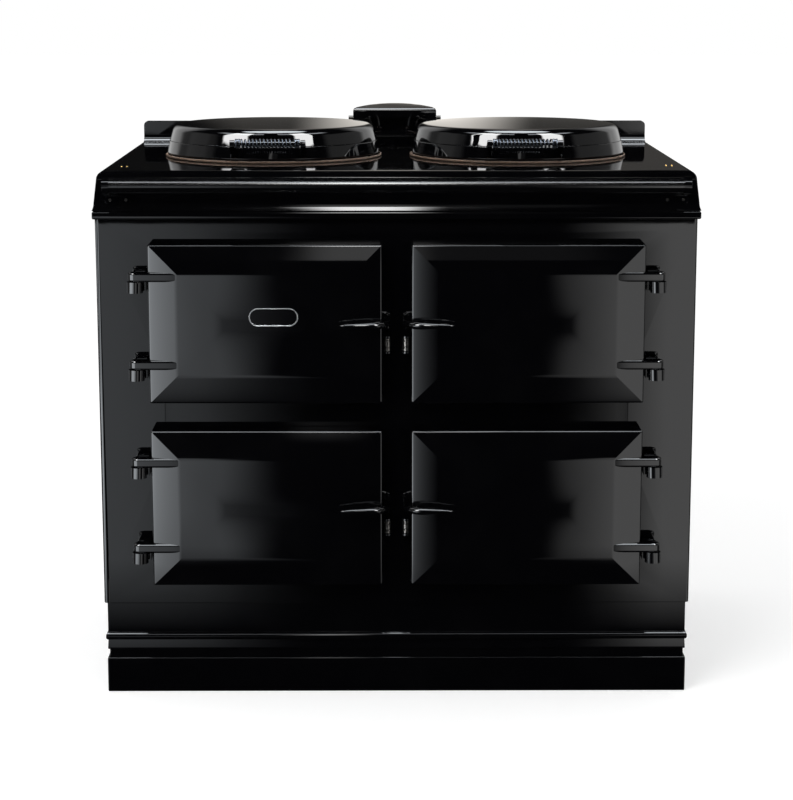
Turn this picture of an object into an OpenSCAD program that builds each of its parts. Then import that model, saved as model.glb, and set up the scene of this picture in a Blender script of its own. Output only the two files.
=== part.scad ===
// Cast iron range cooker with four doors and two round hotplate lids.
// X runs to the cooker's right-hand side, the front faces -Y, Z is up from the floor.

/* [Doors] */
// Width of one door
door_w = 381; // [340:1:420]
// Height of one door
door_h = 262; // [240:1:300]
// Thickness of a door from its back to its rim
door_rim_t = 37; // [34:1:44]
// How far the door's flat face stands above its rim
door_rise = 12; // [8:1:16]
// Width of the sloping band round a door's face
door_hip = 62; // [45:1:75]
// Rounding of a door's front edge
door_edge_r = 9; // [5:1:12]
// Corner radius of a door seen from the front
door_corner_r = 9; // [6:1:16]
// Depth of the pocket in a door's back
door_pocket_d = 24; // [18:1:26]
// Width of the stile between left and right doors
stile_gap = 48; // [44:1:70]
// Height of the rail between upper and lower doors
rail_gap = 46.5; // [30:0.5:80]
// Front plate left beside the outer edge of a door
side_margin = 88.5; // [80:0.5:130]
// Front plate left above the upper doors
top_margin = 38; // [30:1:60]
// Front plate left below the lower doors
bottom_margin = 42.5; // [30:0.5:80]

/* [Body] */
// Depth from the front plate's face to the back panel
body_d = 640; // [610:1:720]
// Thickness of the cast front plate
front_t = 9; // [7:0.5:12]
// Thickness of the side and back panels
panel_t = 3; // [2:0.5:5]
// Edge rounding of the front plate's outer corners
front_edge_r = 6; // [3:0.5:8]

/* [Plinths] */
// Height of the base plinth
base_plinth_h = 60; // [50:1:90]
// Height of the base plate that shows as a dark gap
gap_h = 14.5; // [10:0.5:25]
// Height of the upper plinth
upper_plinth_h = 82; // [75:1:100]
// How far the plinths stand back from the body's faces
plinth_setback = 3; // [2:0.5:8]
// How far the base plate stands back from the plinths
plate_setback = 4; // [3:0.5:8]
// Wall of the plinths
plinth_wall = 16; // [12:1:24]

/* [Hob] */
// Height of the apron from the front plate up to the hob surface
apron_h = 79; // [74:1:95]
// Thickness of the hob casting
hob_t = 10; // [8:1:14]
// Wall of the apron
apron_wall = 9; // [7:1:11]
// How far the apron stands ahead of the front plate
apron_ahead = 11; // [9:1:16]
// How far the lip stands out from the apron
lip_out = 3; // [2:0.5:5]
// Height of the lip
lip_h = 13; // [10:1:18]
// Rounding of the hob's top edge
hob_edge_r = 14; // [8:1:18]
// How much narrower each side of the apron is at the top
apron_taper = 5; // [0:0.5:8]
// Height of the rear upstand above the hob
upstand_h = 39; // [30:1:60]
// Thickness of the rear upstand
upstand_t = 16; // [14:1:20]
// Distance of the upstand's ends from the body's sides
upstand_inset = 14.5; // [12:0.5:40]
// Radius of the cove where hob and upstand meet
cove_r = 14; // [8:1:20]

/* [Hotplates and lids] */
// Distance between the two hotplate centres
plate_spacing = 430; // [420:1:460]
// Distance of the hotplate centres behind the front plate
plate_back = 308; // [290:1:320]
// Radius of a hotplate
plate_r = 166; // [150:1:168]
// Height of a hotplate casting
plate_h = 40; // [30:1:50]
// Gap between hotplate and hob
plate_gap = 3; // [2:0.5:4]
// Radius of a lid at its bottom edge
lid_r = 187; // [184:0.5:194]
// Height of a lid's lower skirt
skirt_h = 23; // [20:1:30]
// Height of a lid's upper dome up to its shoulder
dome_h = 28.5; // [24:0.5:34]
// Crown of a lid's top above its shoulder
crown_h = 5; // [3:1:9]
// Radius of a lid's flat top
top_r = 163; // [156:1:168]
// Wall of the lid castings
lid_wall = 3; // [2:0.5:5]
// Thickness of the braided rope rings
rope_d = 4.5; // [3:0.5:6]

/* [Lid grips] */
// Length of a grip coil between its collars
coil_l = 90; // [60:1:110]
// Outside diameter of a grip coil
coil_d = 16.5; // [14:0.5:20]
// Diameter of the coil's wire
wire_d = 3.2; // [2:0.1:4]
// Turns of a grip coil
coil_turns = 14; // [8:1:18]
// Diameter of the rod inside a grip
grip_rod_d = 7; // [5:0.5:9]
// Distance of the grip's axis ahead of the lid's skirt
grip_out = 34; // [26:1:42]
// Height of the grip's axis above the lid's bottom edge
grip_up = 31.5; // [26:0.5:34]
// Length of a grip collar
collar_l = 9; // [6:1:14]

/* [Handrail] */
// Diameter of the handrail
rail_d = 24.5; // [20:0.5:30]
// Length of the handrail
rail_l = 940; // [880:1:950]
// Distance of the handrail's axis ahead of the front plate
rail_out = 45; // [38:1:60]
// Depth of the handrail's axis below the hob surface
rail_drop = 20; // [16:1:30]
// Length of a rail bracket's collar
rail_collar_l = 11; // [8:1:20]
// Width of a rail bracket's flange
flange_w = 42; // [30:1:60]
// Height of a rail bracket's flange
flange_h = 26; // [20:1:28]

/* [Door hinges] */
// Distance of a hinge pin outside the door's edge
pin_off = 21; // [18:1:24]
// Radius of a hinge pin
pin_r = 5; // [3:0.5:6]
// Radius of a bracket's knuckle
knuckle_r = 13; // [10:1:13]
// Height of a bracket's knuckle
knuckle_h = 18; // [14:1:24]
// Height of a hinge arm on the door
arm_h = 13; // [10:1:18]
// Height of the upper hinge above a door's middle
hinge_up = 77; // [65:1:90]
// Depth of the lower hinge below a door's middle
hinge_down = 68; // [60:1:90]
// Running clearance of a hinge pin in its arm
pin_clear = 0.08; // [0.02:0.01:0.1]

/* [Latches] */
// Length of a latch handle's blade past the door's edge
blade_l = 69; // [50:1:80]
// Gap for the fingers behind a blade
finger_gap = 14; // [12:1:24]
// Thickness of a blade
blade_t = 9; // [7:0.5:12]
// Radius of a catch roller
roller_r = 5.5; // [4.5:0.1:6]
// Height of a catch roller
roller_h = 22; // [16:1:28]
// Radius of a roller's pin
roller_pin_r = 2.5; // [2:0.1:3]
// Running clearance of a roller on its pin
roller_clear = 0.08; // [0.02:0.01:0.1]

/* [Ovens] */
// Width of an oven's cavity
oven_w = 340; // [300:1:350]
// Height of an oven's cavity
oven_h = 222; // [200:1:230]
// Depth of an oven's cavity
oven_d = 480; // [430:1:500]
// Wall of an oven casting
oven_wall = 6; // [5:0.5:9]
// Corner radius of an oven's cavity
oven_r = 18; // [10:1:26]
// Least land between a mouth and its door's edge, for the rope seal
seal_land = 20; // [18:1:30]
// Height of the lowest shelf runners above an oven's floor
runner_low = 34; // [24:1:50]
// Distance between shelf runners
runner_pitch = 60; // [40:1:66]
// Depth of the compartment for the controls
control_d = 150; // [130:1:190]

/* [Vent] */
// Width of the vent box
vent_w = 156; // [130:1:180]
// Depth of the vent box
vent_d = 32; // [28:1:36]
// Height of the vent box above the hob
vent_h = 50; // [45:1:60]
// Height of the vent cap
cap_h = 23; // [16:1:30]
// Width of the vent's mouth
mouth_w = 120; // [90:1:124]
// Height of the vent's mouth
mouth_h = 25; // [18:1:28]

/* [Controls] */
// Radius of a control knob
knob_r = 20; // [14:1:24]
// Height of a control knob
knob_h = 16; // [12:1:18]
// Radius of a knob's shaft
shaft_r = 3; // [2.5:0.5:4]
// Distance between the two knobs
knob_spacing = 120; // [80:1:160]

/* [Fits] */
// Gap between pieces that lie close together
fit = 0.3; // [0.2:0.05:0.4]
// Clearance of a door's inner liner in its oven mouth
plug_clear = 8; // [7:0.5:10]
// Depth that a door's liner reaches behind the front plate
plug_in = 18; // [12:1:20]

/* [Hidden] */

// Segments of round pieces
round_fn = 72;
small_fn = 36;
LEFT = -1;
RIGHT = 1;

enamel = [0.03, 0.03, 0.035];
steel = [0.62, 0.63, 0.65];
dark_iron = [0.2, 0.2, 0.21];
rope_brown = [0.45, 0.33, 0.24];
dark_steel = [0.3, 0.32, 0.36];
lagging = [0.75, 0.72, 0.66];

// Heights
upper_plinth_z = base_plinth_h + gap_h;
front_z = upper_plinth_z + upper_plinth_h + fit;
lower_door_z = front_z + bottom_margin + door_h / 2;
upper_door_z = lower_door_z + door_h + rail_gap;
apron_z = upper_door_z + door_h / 2 + top_margin;
hob_z = apron_z + apron_h;
rail_z = hob_z - rail_drop;

// Widths
door_x = stile_gap / 2 + door_w / 2;
body_w = 2 * (stile_gap / 2 + door_w + side_margin);
half_w = body_w / 2;
lid_x = plate_spacing / 2;

// Depths: "ahead" is the distance in front of the front plate's face
seal_t = 3;
door_back = seal_t + fit;
rim_ahead = door_back + door_rim_t;
face_ahead = rim_ahead + door_rise;
blade_front = face_ahead + finger_gap + blade_t;
front_y = (blade_front - body_d) / 2;
back_y = front_y + body_d;
plate_y = front_y + plate_back;
function ahead(a) = front_y - a;
function behind(b) = front_y + b;

// Hinge arms run level with the upper part of a door's slope
arm_face = face_ahead - 3;
arm_r = knuckle_r - 2;
pin_ahead = arm_face - knuckle_r;
pin_x = stile_gap / 2 + door_w + pin_off;
arm_back = pin_ahead - arm_r;
arm_merge = door_hip * 0.75;

// Points on an arc from angle a0 to a1 round c
function arc(c, r, a0, a1, n = 8) =
    [for (i = [0:n]) c + r * [cos(a0 + (a1 - a0) * i / n), sin(a0 + (a1 - a0) * i / n)]];

// A rectangle with round corners, centred
module round_rect(w, h, r) {
    square([w - 2 * r, h], center = true);
    square([w, h - 2 * r], center = true);
    for (x = [-1, 1], z = [-1, 1])
        translate([x * (w / 2 - r), z * (h / 2 - r)]) circle(r, $fn = small_fn);
}

// Extrudes an outline drawn in X and Z between two depths
module slab_y(y0, y1) {
    translate([0, y1, 0]) rotate([90, 0, 0]) linear_extrude(y1 - y0) children();
}

// Extrudes an outline drawn in Y and Z between two widths
module slab_x(x0, x1) {
    translate([x0, 0, 0]) rotate([90, 0, 90]) linear_extrude(x1 - x0) children();
}

// A block given by its two opposite corners
module block(low, high) {
    translate(low) cube(high - low);
}

module both_sides() {
    children();
    mirror([1, 0, 0]) children();
}

// ---- Plinths and frame

base_half_w = half_w - plinth_setback;
base_front = behind(plinth_setback);
base_back = back_y - plinth_setback;

module base_plinth() {
    color(enamel) difference() {
        block([-base_half_w, base_front, 0], [base_half_w, base_back, base_plinth_h]);
        block([-base_half_w + plinth_wall, base_front + plinth_wall, -1],
              [base_half_w - plinth_wall, base_back - plinth_wall, base_plinth_h + 1]);
    }
}

foot_inset = 70;
foot_pad_r = 28;
foot_pad_h = 12;
foot_stud_r = 9;

module levelling_feet() {
    color(steel) both_sides() for (y = [base_front + foot_inset, base_back - foot_inset])
        translate([base_half_w - foot_inset, y, 0]) {
            cylinder(r = foot_pad_r, h = foot_pad_h, $fn = small_fn);
            cylinder(r = foot_stud_r, h = base_plinth_h, $fn = small_fn);
        }
}

module base_plate() {
    color(dark_iron)
        block([-base_half_w + plate_setback, base_front + plate_setback, base_plinth_h],
              [base_half_w - plate_setback, base_back - plate_setback, upper_plinth_z]);
}

// Section of the upper plinth: how far it stands out, against height
bead_z = 19.5;
bead_h = 8;
bead_out = 2.5;
flare_out = 1.5;

function plinth_profile(h) = concat(
    [[0, h], [0, bead_z + bead_h + bead_out]],
    arc([0, bead_z + bead_h / 2], bead_h / 2 + bead_out, 80, -80, 10),
    [[0, bead_z - bead_out], [flare_out, 4], [flare_out, 1.5], [0, 0]]
);

module upper_plinth_solid(half, front, back) {
    profile = plinth_profile(upper_plinth_h);
    intersection() {
        slab_y(front - 10, back) polygon(concat(
            [for (p = profile) [half - bead_out * 1.2 + p[0] * 0.5, upper_plinth_z + p[1]]],
            [for (i = [len(profile) - 1:-1:0])
                [-half + bead_out * 1.2 - profile[i][0] * 0.5, upper_plinth_z + profile[i][1]]]
        ));
        slab_x(-half - 10, half + 10) polygon(concat(
            [for (p = profile) [front - p[0], upper_plinth_z + p[1]]],
            [[back, upper_plinth_z], [back, upper_plinth_z + upper_plinth_h]]
        ));
    }
}

module upper_plinth() {
    color(enamel) difference() {
        upper_plinth_solid(base_half_w + 1, base_front + bead_out, back_y - panel_t - fit);
        block([-base_half_w + plinth_wall, base_front + plinth_wall, upper_plinth_z - 1],
              [base_half_w - plinth_wall, back_y + 1, upper_plinth_z + upper_plinth_h + 1]);
    }
}

// ---- Casing

// A mouth is as wide and high as its oven, or as its door can seal
oven_mouth_w = min(oven_w, door_w - 2 * seal_land);
oven_mouth_h = min(oven_h, door_h - 2 * seal_land);

// The four door places, as [side, height]
door_places = [[LEFT, upper_door_z], [RIGHT, upper_door_z], [LEFT, lower_door_z], [RIGHT, lower_door_z]];

module front_plate() {
    color(enamel) difference() {
        translate([0, 0, front_z]) linear_extrude(apron_z - front_z) difference() {
            union() {
                translate([-half_w + front_edge_r, front_y]) square([body_w - 2 * front_edge_r, front_t]);
                translate([-half_w, front_y + front_edge_r]) square([body_w, 2 * front_t]);
                both_sides() translate([half_w - front_edge_r, front_y + front_edge_r])
                    circle(front_edge_r, $fn = small_fn);
            }
            translate([-half_w + front_t, front_y + front_t]) square([body_w - 2 * front_t, 3 * front_t]);
        }
        for (p = door_places) translate([p[0] * door_x, 0, p[1]])
            slab_y(front_y - 1, front_y + front_t + 1) round_rect(oven_mouth_w, oven_mouth_h, oven_r);
    }
}

panel_y0 = front_y + front_edge_r + 2 * front_t + fit;

module side_panel(side) {
    color(enamel) scale([side, 1, 1])
        block([half_w - panel_t, panel_y0, front_z], [half_w, back_y - panel_t - fit, apron_z]);
}

cable_r = 10;
cable_x = 330;
cable_z = 180;
screw_r = 2.5;
back_screw_x = half_w - 16;
back_screw_zs = [upper_plinth_z + 30, (upper_plinth_z + apron_z) / 2, apron_z - 30];

module back_panel() {
    color(dark_iron) difference() {
        block([-half_w + 1, back_y - panel_t, upper_plinth_z], [half_w - 1, back_y, apron_z]);
        translate([cable_x, back_y - panel_t - 1, cable_z]) rotate([-90, 0, 0])
            cylinder(r = cable_r, h = panel_t + 2, $fn = small_fn);
        both_sides() for (z = back_screw_zs)
            translate([back_screw_x, back_y - panel_t - 1, z]) rotate([-90, 0, 0])
                cylinder(r = screw_r + 0.05, h = panel_t + 2, $fn = small_fn);
    }
}

oven_outer_w = oven_w + 2 * oven_wall;
oven_outer_h = oven_h + 2 * oven_wall;
oven_back = front_t + oven_d + oven_wall;
heater_r = 4;
heater_drop = 12;
plate_bottom = hob_z - plate_h + 3;
heater_under_plate = 10;
cable_pocket = 70;
insulation_top = plate_bottom - heater_under_plate - 6;

module insulation() {
    color(lagging) difference() {
        union() {
            block([-base_half_w + plinth_wall + fit, base_front + plinth_wall + fit, upper_plinth_z + fit],
                  [base_half_w - plinth_wall - fit, back_y - panel_t - fit, front_z + 1]);
            block([-half_w + front_t + fit, front_y + front_t + fit, front_z + fit],
                  [half_w - front_t - fit, back_y - panel_t - fit, apron_z - fit]);
            block([-inner_half_w + fit, front_y + front_t + fit, apron_z - 1],
                  [inner_half_w - fit, back_y - apron_wall - fit, insulation_top]);
        }
        translate([cable_x, back_y, cable_z]) rotate([90, 0, 0])
            cylinder(r = cable_r + 4, h = cable_pocket, $fn = small_fn);
        for (p = door_places) translate([p[0] * door_x, 0, p[1]]) {
            deep = p == door_places[0] ? control_d + oven_wall : oven_d + oven_wall;
            slab_y(front_y, front_y + front_t + deep + 2 * fit)
                round_rect(oven_outer_w + 2 * fit, oven_outer_h + 2 * fit, oven_r + oven_wall);
            translate([-oven_outer_w / 2 + 20, front_y + front_t, -oven_outer_h / 2 - heater_drop])
                cube([oven_outer_w - 40, deep - 10, heater_drop + oven_r]);
        }
    }
}

// ---- Hob

inner_half_w = half_w - apron_taper - apron_wall;
lip_r = 3;
lip_face = apron_ahead + lip_out;
apron_flare_out = 3;
apron_flare_h = 12;
apron_flare_z = apron_z + lip_h + 1.5;

// Outline of the lip and apron from the bottom upwards, as [outwards, height]
function apron_profile(taper) = concat(
    [[lip_out - lip_r, apron_z]],
    arc([lip_out - lip_r, apron_z + lip_r], lip_r, -80, 0, 5),
    arc([lip_out - lip_r, apron_z + lip_h - lip_r], lip_r, 0, 80, 5),
    [for (i = [0:6]) [apron_flare_out * pow(1 - i / 6, 2), apron_flare_z + apron_flare_h * i / 6]],
    arc([-taper - hob_edge_r, hob_z - hob_edge_r], hob_edge_r, 0, 90, 8)
);

module hob_solid() {
    side = apron_profile(apron_taper);
    face = apron_profile(0);
    intersection() {
        slab_y(ahead(lip_face + 5), back_y) polygon(concat(
            [for (p = side) [half_w + p[0], p[1]]],
            [for (i = [len(side) - 1:-1:0]) [-half_w - side[i][0], side[i][1]]]
        ));
        slab_x(-half_w - 20, half_w + 20) polygon(concat(
            [for (p = face) [ahead(apron_ahead + p[0]), p[1]]],
            [[back_y, hob_z], [back_y, apron_z]]
        ));
    }
}

upstand_half = half_w - upstand_inset;
upstand_corner = 8;
flue_w = 80;
flue_front = back_y - upstand_t + 1.5;
flue_back = back_y - apron_wall - 0.5;
vent_seat_z = hob_z + cove_r;
vent_y = back_y - vent_d / 2 - fit;

module upstand() {
    slab_y(back_y - upstand_t, back_y) {
        translate([-upstand_half, hob_z - 1]) square([2 * upstand_half, upstand_h - upstand_corner + 1]);
        translate([-upstand_half + upstand_corner, hob_z])
            square([2 * (upstand_half - upstand_corner), upstand_h]);
        both_sides() translate([upstand_half - upstand_corner, hob_z + upstand_h - upstand_corner])
            circle(upstand_corner, $fn = small_fn);
    }
    difference() {
        block([-upstand_half, back_y - upstand_t - cove_r, hob_z - 1],
              [upstand_half, back_y - 1, hob_z + cove_r]);
        translate([-upstand_half - 1, back_y - upstand_t - cove_r, hob_z + cove_r]) rotate([0, 90, 0])
            cylinder(r = cove_r, h = 2 * upstand_half + 2, $fn = round_fn);
    }
}

module top_plate() {
    color(enamel) difference() {
        union() {
            hob_solid();
            upstand();
        }
        block([-inner_half_w, ahead(apron_ahead - apron_wall), apron_z - 1],
              [inner_half_w, back_y - apron_wall, hob_z - hob_t]);
        for (s = [LEFT, RIGHT]) translate([s * lid_x, plate_y, hob_z - hob_t - 1])
            cylinder(r = plate_r + plate_gap, h = hob_t + 2, $fn = round_fn);
        block([-vent_w / 2 - fit, back_y - vent_d - 2 * fit, vent_seat_z],
              [vent_w / 2 + fit, back_y + 1, hob_z + upstand_h + 1]);
        block([-flue_w / 2, flue_front, hob_z - hob_t - 1], [flue_w / 2, flue_back, vent_seat_z + 1]);
    }
}

module hotplate(side) {
    flange_r = plate_r + 14;
    color(dark_iron) translate([side * lid_x, plate_y, 0]) {
        translate([0, 0, plate_bottom]) cylinder(r = plate_r, h = plate_h, $fn = round_fn);
        translate([0, 0, hob_z - hob_t - 8]) cylinder(r = flange_r, h = 8 - fit, $fn = round_fn);
    }
}

module hotplate_heaters() {
    color(dark_steel) for (s = [LEFT, RIGHT], r = [plate_r * 0.4, plate_r * 0.75])
        translate([s * lid_x, plate_y, plate_bottom - heater_r - fit])
            rotate_extrude($fn = round_fn) translate([r, 0]) circle(heater_r, $fn = 24);
}

rope_r = lid_r + 1;

module hotplate_rope_seals() {
    color(rope_brown) for (s = [LEFT, RIGHT]) translate([s * lid_x, plate_y, hob_z + rope_d / 2])
        rotate_extrude($fn = round_fn) translate([rope_r, 0]) circle(rope_d / 2, $fn = 24);
}

// ---- Vent

vent_wall = 5;
mouth_z = hob_z + vent_h - mouth_h - 3;
cap_z = hob_z + vent_h;
vent_screw_z = cap_z - 5;
vent_front = back_y - vent_d - fit;
vent_back = back_y - fit;

module vent_box() {
    color(enamel) difference() {
        block([-vent_w / 2, vent_front, vent_seat_z + fit], [vent_w / 2, vent_back, cap_z - fit]);
        block([-vent_w / 2 + vent_wall, vent_front + vent_wall, vent_seat_z + vent_wall],
              [vent_w / 2 - vent_wall, vent_back - vent_wall, cap_z - vent_wall]);
        translate([0, 0, mouth_z + mouth_h / 2]) slab_y(vent_front - 1, vent_front + vent_wall + 1)
            round_rect(mouth_w, mouth_h, 8);
        block([-flue_w / 2, flue_front, vent_seat_z - 1],
              [flue_w / 2, flue_back, vent_seat_z + vent_wall + 1]);
        both_sides() translate([vent_w / 2 + 1, vent_y, vent_screw_z]) rotate([0, -90, 0])
            cylinder(r = 2.1, h = vent_wall + 2, $fn = 24);
    }
}

cap_drop = 10;
cap_over = 1;

module vent_cap() {
    half = vent_w / 2 + cap_over;
    crown_r = (half * half + cap_drop * cap_drop) / (2 * cap_drop);
    crown_a = asin(half / crown_r);
    depth = vent_d + cap_over;
    color(enamel) intersection() {
        slab_y(vent_front - cap_over, vent_back) polygon(concat(
            [[half, cap_z], [half, cap_z + cap_h - cap_drop - 4]],
            arc([half - 4, cap_z + cap_h - cap_drop - 4], 4, 0, 70, 4),
            [for (i = [-9:9]) [-crown_r * sin(crown_a * 0.92 * i / 9),
                               cap_z + cap_h - crown_r * (1 - cos(crown_a * 0.92 * i / 9))]],
            arc([-half + 4, cap_z + cap_h - cap_drop - 4], 4, 110, 180, 4),
            [[-half, cap_z]]
        ));
        slab_x(-half - 1, half + 1) polygon(concat(
            [[vent_back, cap_z], [vent_front - cap_over, cap_z]],
            arc([vent_front - cap_over + 5, cap_z + cap_h - cap_drop - 3], 5, 180, 110, 5),
            arc([vent_back - depth * 0.3, cap_z + cap_h - depth * 0.6], depth * 0.6, 112, 70, 8),
            [[vent_back, cap_z + cap_h - 3]]
        ));
    }
}

// ---- Handrail

module handrail() {
    color(enamel) translate([-rail_l / 2, ahead(rail_out), rail_z]) rotate([0, 90, 0])
        cylinder(r = rail_d / 2, h = rail_l, $fn = round_fn);
}

flange_t = 5;
flange_z = apron_flare_z + apron_flare_h;
collar_r = rail_d / 2 + 2;
collar_x = rail_l / 2 - rail_collar_l + 4;

module rail_brackets() {
    color(enamel) both_sides() difference() {
        union() {
            translate([rail_l / 2 + 4 - flange_w / 2, 0, flange_z + flange_h / 2])
                slab_y(ahead(apron_ahead + flange_t), ahead(apron_ahead)) round_rect(flange_w, flange_h, 4);
            hull() {
                block([collar_x - 12, ahead(apron_ahead + flange_t + 3), flange_z + flange_h / 2 - 1],
                      [collar_x + rail_collar_l - 2, ahead(apron_ahead + 1), flange_z + flange_h - 2]);
                translate([collar_x, ahead(rail_out), rail_z]) rotate([0, 90, 0])
                    cylinder(r = rail_d / 2 - 3, h = rail_collar_l - 2, $fn = 32);
            }
            translate([collar_x, ahead(rail_out), rail_z]) rotate([0, 90, 0])
                cylinder(r = collar_r, h = rail_collar_l, $fn = small_fn);
        }
        translate([collar_x - 40, ahead(rail_out), rail_z]) rotate([0, 90, 0])
            cylinder(r = rail_d / 2 + 0.1, h = 40 + rail_l / 2 - collar_x + 0.1, $fn = round_fn);
    }
}

// ---- Doors

// Plan of a door: half thickness line by arcs, as [across, ahead]
function door_profile(w) = concat(
    [[-w / 2, door_back]],
    arc([-w / 2 + door_edge_r, rim_ahead - door_edge_r], door_edge_r, 180, 100, 8),
    [[-w / 2 + door_hip - 14, face_ahead - 1.2], [-w / 2 + door_hip - 4, face_ahead - 0.25],
     [-w / 2 + door_hip + 8, face_ahead],
     [w / 2 - door_hip - 8, face_ahead], [w / 2 - door_hip + 4, face_ahead - 0.25],
     [w / 2 - door_hip + 14, face_ahead - 1.2]],
    arc([w / 2 - door_edge_r, rim_ahead - door_edge_r], door_edge_r, 80, 0, 8),
    [[w / 2, door_back]]
);

liner_w = oven_mouth_w - 2 * plug_clear;
liner_h = oven_mouth_h - 2 * plug_clear;
hinge_zs = [hinge_up, -hinge_down];

// One door centred on X = 0, Z = 0, with its hinges at +X
module door_casting() {
    color(enamel) difference() {
        union() {
            intersection() {
                translate([0, 0, -door_h / 2]) linear_extrude(door_h)
                    polygon([for (p = door_profile(door_w)) [p[0], ahead(p[1])]]);
                slab_x(-door_w / 2, door_w / 2)
                    polygon([for (p = door_profile(door_h)) [ahead(p[1]), p[0]]]);
                slab_y(ahead(face_ahead + 1), ahead(0)) round_rect(door_w, door_h, door_corner_r);
            }
            for (z = hinge_zs) translate([0, 0, z - arm_h / 2]) {
                translate([pin_x - door_x, ahead(pin_ahead), 0])
                    cylinder(r = arm_r, h = arm_h, $fn = small_fn);
                block([door_w / 2 - arm_merge, ahead(pin_ahead + arm_r), 0],
                      [pin_x - door_x, ahead(arm_back), arm_h]);
            }
        }
        slab_y(ahead(door_back + door_pocket_d), ahead(0))
            round_rect(liner_w + 2 * fit, liner_h + 2 * fit, oven_r - 4);
        for (z = hinge_zs) translate([pin_x - door_x, ahead(pin_ahead), z - arm_h / 2 - 1])
            cylinder(r = pin_r + pin_clear, h = arm_h - 1.5, $fn = small_fn);
    }
}

panel_dish = 3;
panel_dish_land = 60;

module door_liner() {
    color(steel) difference() {
        slab_y(ahead(door_back + door_pocket_d - fit), behind(plug_in))
            round_rect(liner_w, liner_h, oven_r - 4);
        slab_y(behind(plug_in - panel_dish), behind(plug_in + 1))
            round_rect(liner_w - panel_dish_land, liner_h - panel_dish_land, 8);
    }
}

// Latch handle of a door whose free edge is at -X
latch_t = 9;
latch_root = 15;
root_r = 9;
root_out = 8;
blade_root_r = 7;
blade_tip_r = 5;
blade_tip_h = 4;
nose_l = 14;
nose_ahead = 34;
nose_r = 5;
hook_r = 4;
hook_drop = 6;

// An upright round post at a distance across and ahead
module post(x, a, r, low, h) {
    translate([x, ahead(a), low]) cylinder(r = r, h = h, $fn = 32);
}

module latch_handle() {
    edge = -door_w / 2;
    low = -latch_t / 2;
    root_x = edge + latch_root;
    nose_x = edge - nose_l + nose_r + 2;
    hook_x = edge - nose_l + nose_r;
    color(enamel) difference() {
        union() {
            // root seated on the door's slope
            block([root_x - root_r, ahead(rim_ahead + root_out), low],
                  [root_x + root_r, ahead(rim_ahead - 1), -low]);
            hull() {
                post(root_x, face_ahead + finger_gap + blade_t / 2 - 4, root_r - 1, low, latch_t);
                post(root_x, rim_ahead + root_out, root_r, low, latch_t);
                post(nose_x, rim_ahead + nose_r + 1, nose_r, low, latch_t);
            }
            hull() {
                post(root_x, blade_front - blade_root_r, blade_root_r, low, latch_t);
                post(edge + blade_l - blade_tip_r, blade_front - blade_tip_r, blade_tip_r, -1.5, blade_tip_h);
            }
            // nose that hooks down to the catch
            hull() {
                post(nose_x, rim_ahead + nose_r + 1, nose_r, low, latch_t);
                post(hook_x, nose_ahead - hook_drop, hook_r, low, latch_t);
            }
            hull() {
                post(hook_x, nose_ahead - hook_drop, hook_r, low, latch_t);
                post(hook_x, nose_ahead - hook_drop - 2, hook_r - 1, low - hook_drop, hook_drop);
            }
        }
        intersection() {
            translate([0, 0, -20]) linear_extrude(40)
                polygon([for (p = door_profile(door_w)) [p[0], ahead(p[1])]]);
            block([edge, ahead(face_ahead + 1), -20], [edge + 60, ahead(0), 20]);
        }
    }
}

handle_up = 2;

module place_door(side, z) {
    translate([side * door_x, 0, z]) scale([side, 1, 1]) children();
}

module hinge_side(side, z) {
    translate([0, 0, z]) scale([side, 1, 1]) children();
}

plate_badge_w = 80;
plate_badge_h = 30;

module badge_plate() {
    place_door(LEFT, upper_door_z) translate([-14, 0, 14]) color(steel)
        slab_y(ahead(face_ahead + 1.2), ahead(face_ahead)) union() {
            square([plate_badge_w - plate_badge_h, plate_badge_h], center = true);
            for (s = [-1, 1]) translate([s * (plate_badge_w - plate_badge_h) / 2, 0])
                circle(plate_badge_h / 2, $fn = round_fn);
        }
}

// ---- Door hinges and catches

bracket_in = 16;
bracket_out = 8;
bracket_corner_r = 9;
bracket_above = 5;
bracket_t = arm_back - 1.5;
pin_seat = 2;
press = 0.02;

module door_hinge_brackets() {
    top = arm_h / 2 + bracket_above;
    low = -arm_h / 2 - fit - knuckle_h;
    corner_x = pin_x + bracket_out - bracket_corner_r;
    color(enamel) for (p = door_places, z = hinge_zs) hinge_side(p[0], p[1] + z) difference() {
        union() {
            block([pin_x - bracket_in, ahead(bracket_t), low], [corner_x, front_y, top]);
            block([corner_x - 1, ahead(bracket_t), low],
                  [pin_x + bracket_out, front_y, top - bracket_corner_r]);
            translate([corner_x, ahead(bracket_t), top - bracket_corner_r]) rotate([-90, 0, 0])
                cylinder(r = bracket_corner_r, h = bracket_t, $fn = small_fn);
            block([pin_x - knuckle_r + 4, ahead(pin_ahead), low],
                  [pin_x + knuckle_r - 3, front_y, low + knuckle_h]);
            translate([pin_x, ahead(pin_ahead), low]) cylinder(r = knuckle_r, h = knuckle_h, $fn = small_fn);
        }
        translate([pin_x, ahead(pin_ahead), low + pin_seat])
            cylinder(r = pin_r + press, h = knuckle_h + arm_h, $fn = small_fn);
    }
}

lid_axis_gap = 26;
lid_axis_up = 20;
lid_axis_back = plate_back + lid_r + lid_axis_gap;
lid_axis_z = hob_z + lid_axis_up;
lid_pin_l = 74;
lid_pin_r = 4;

module hinge_pins() {
    color(steel) {
        for (p = door_places, z = hinge_zs) hinge_side(p[0], p[1] + z)
            translate([pin_x, ahead(pin_ahead), -arm_h / 2 - knuckle_h + pin_seat])
                cylinder(r = pin_r, h = knuckle_h + arm_h - 5, $fn = small_fn);
        for (s = [LEFT, RIGHT]) translate([s * lid_x - lid_pin_l / 2, behind(lid_axis_back), lid_axis_z])
            rotate([0, 90, 0]) cylinder(r = lid_pin_r, h = lid_pin_l, $fn = small_fn);
    }
}

roller_x = 15.5;
roller_ahead = 17;
roller_down = 37;
ear_t = 3;
catch_w = 13;
catch_t = 5;

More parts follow.
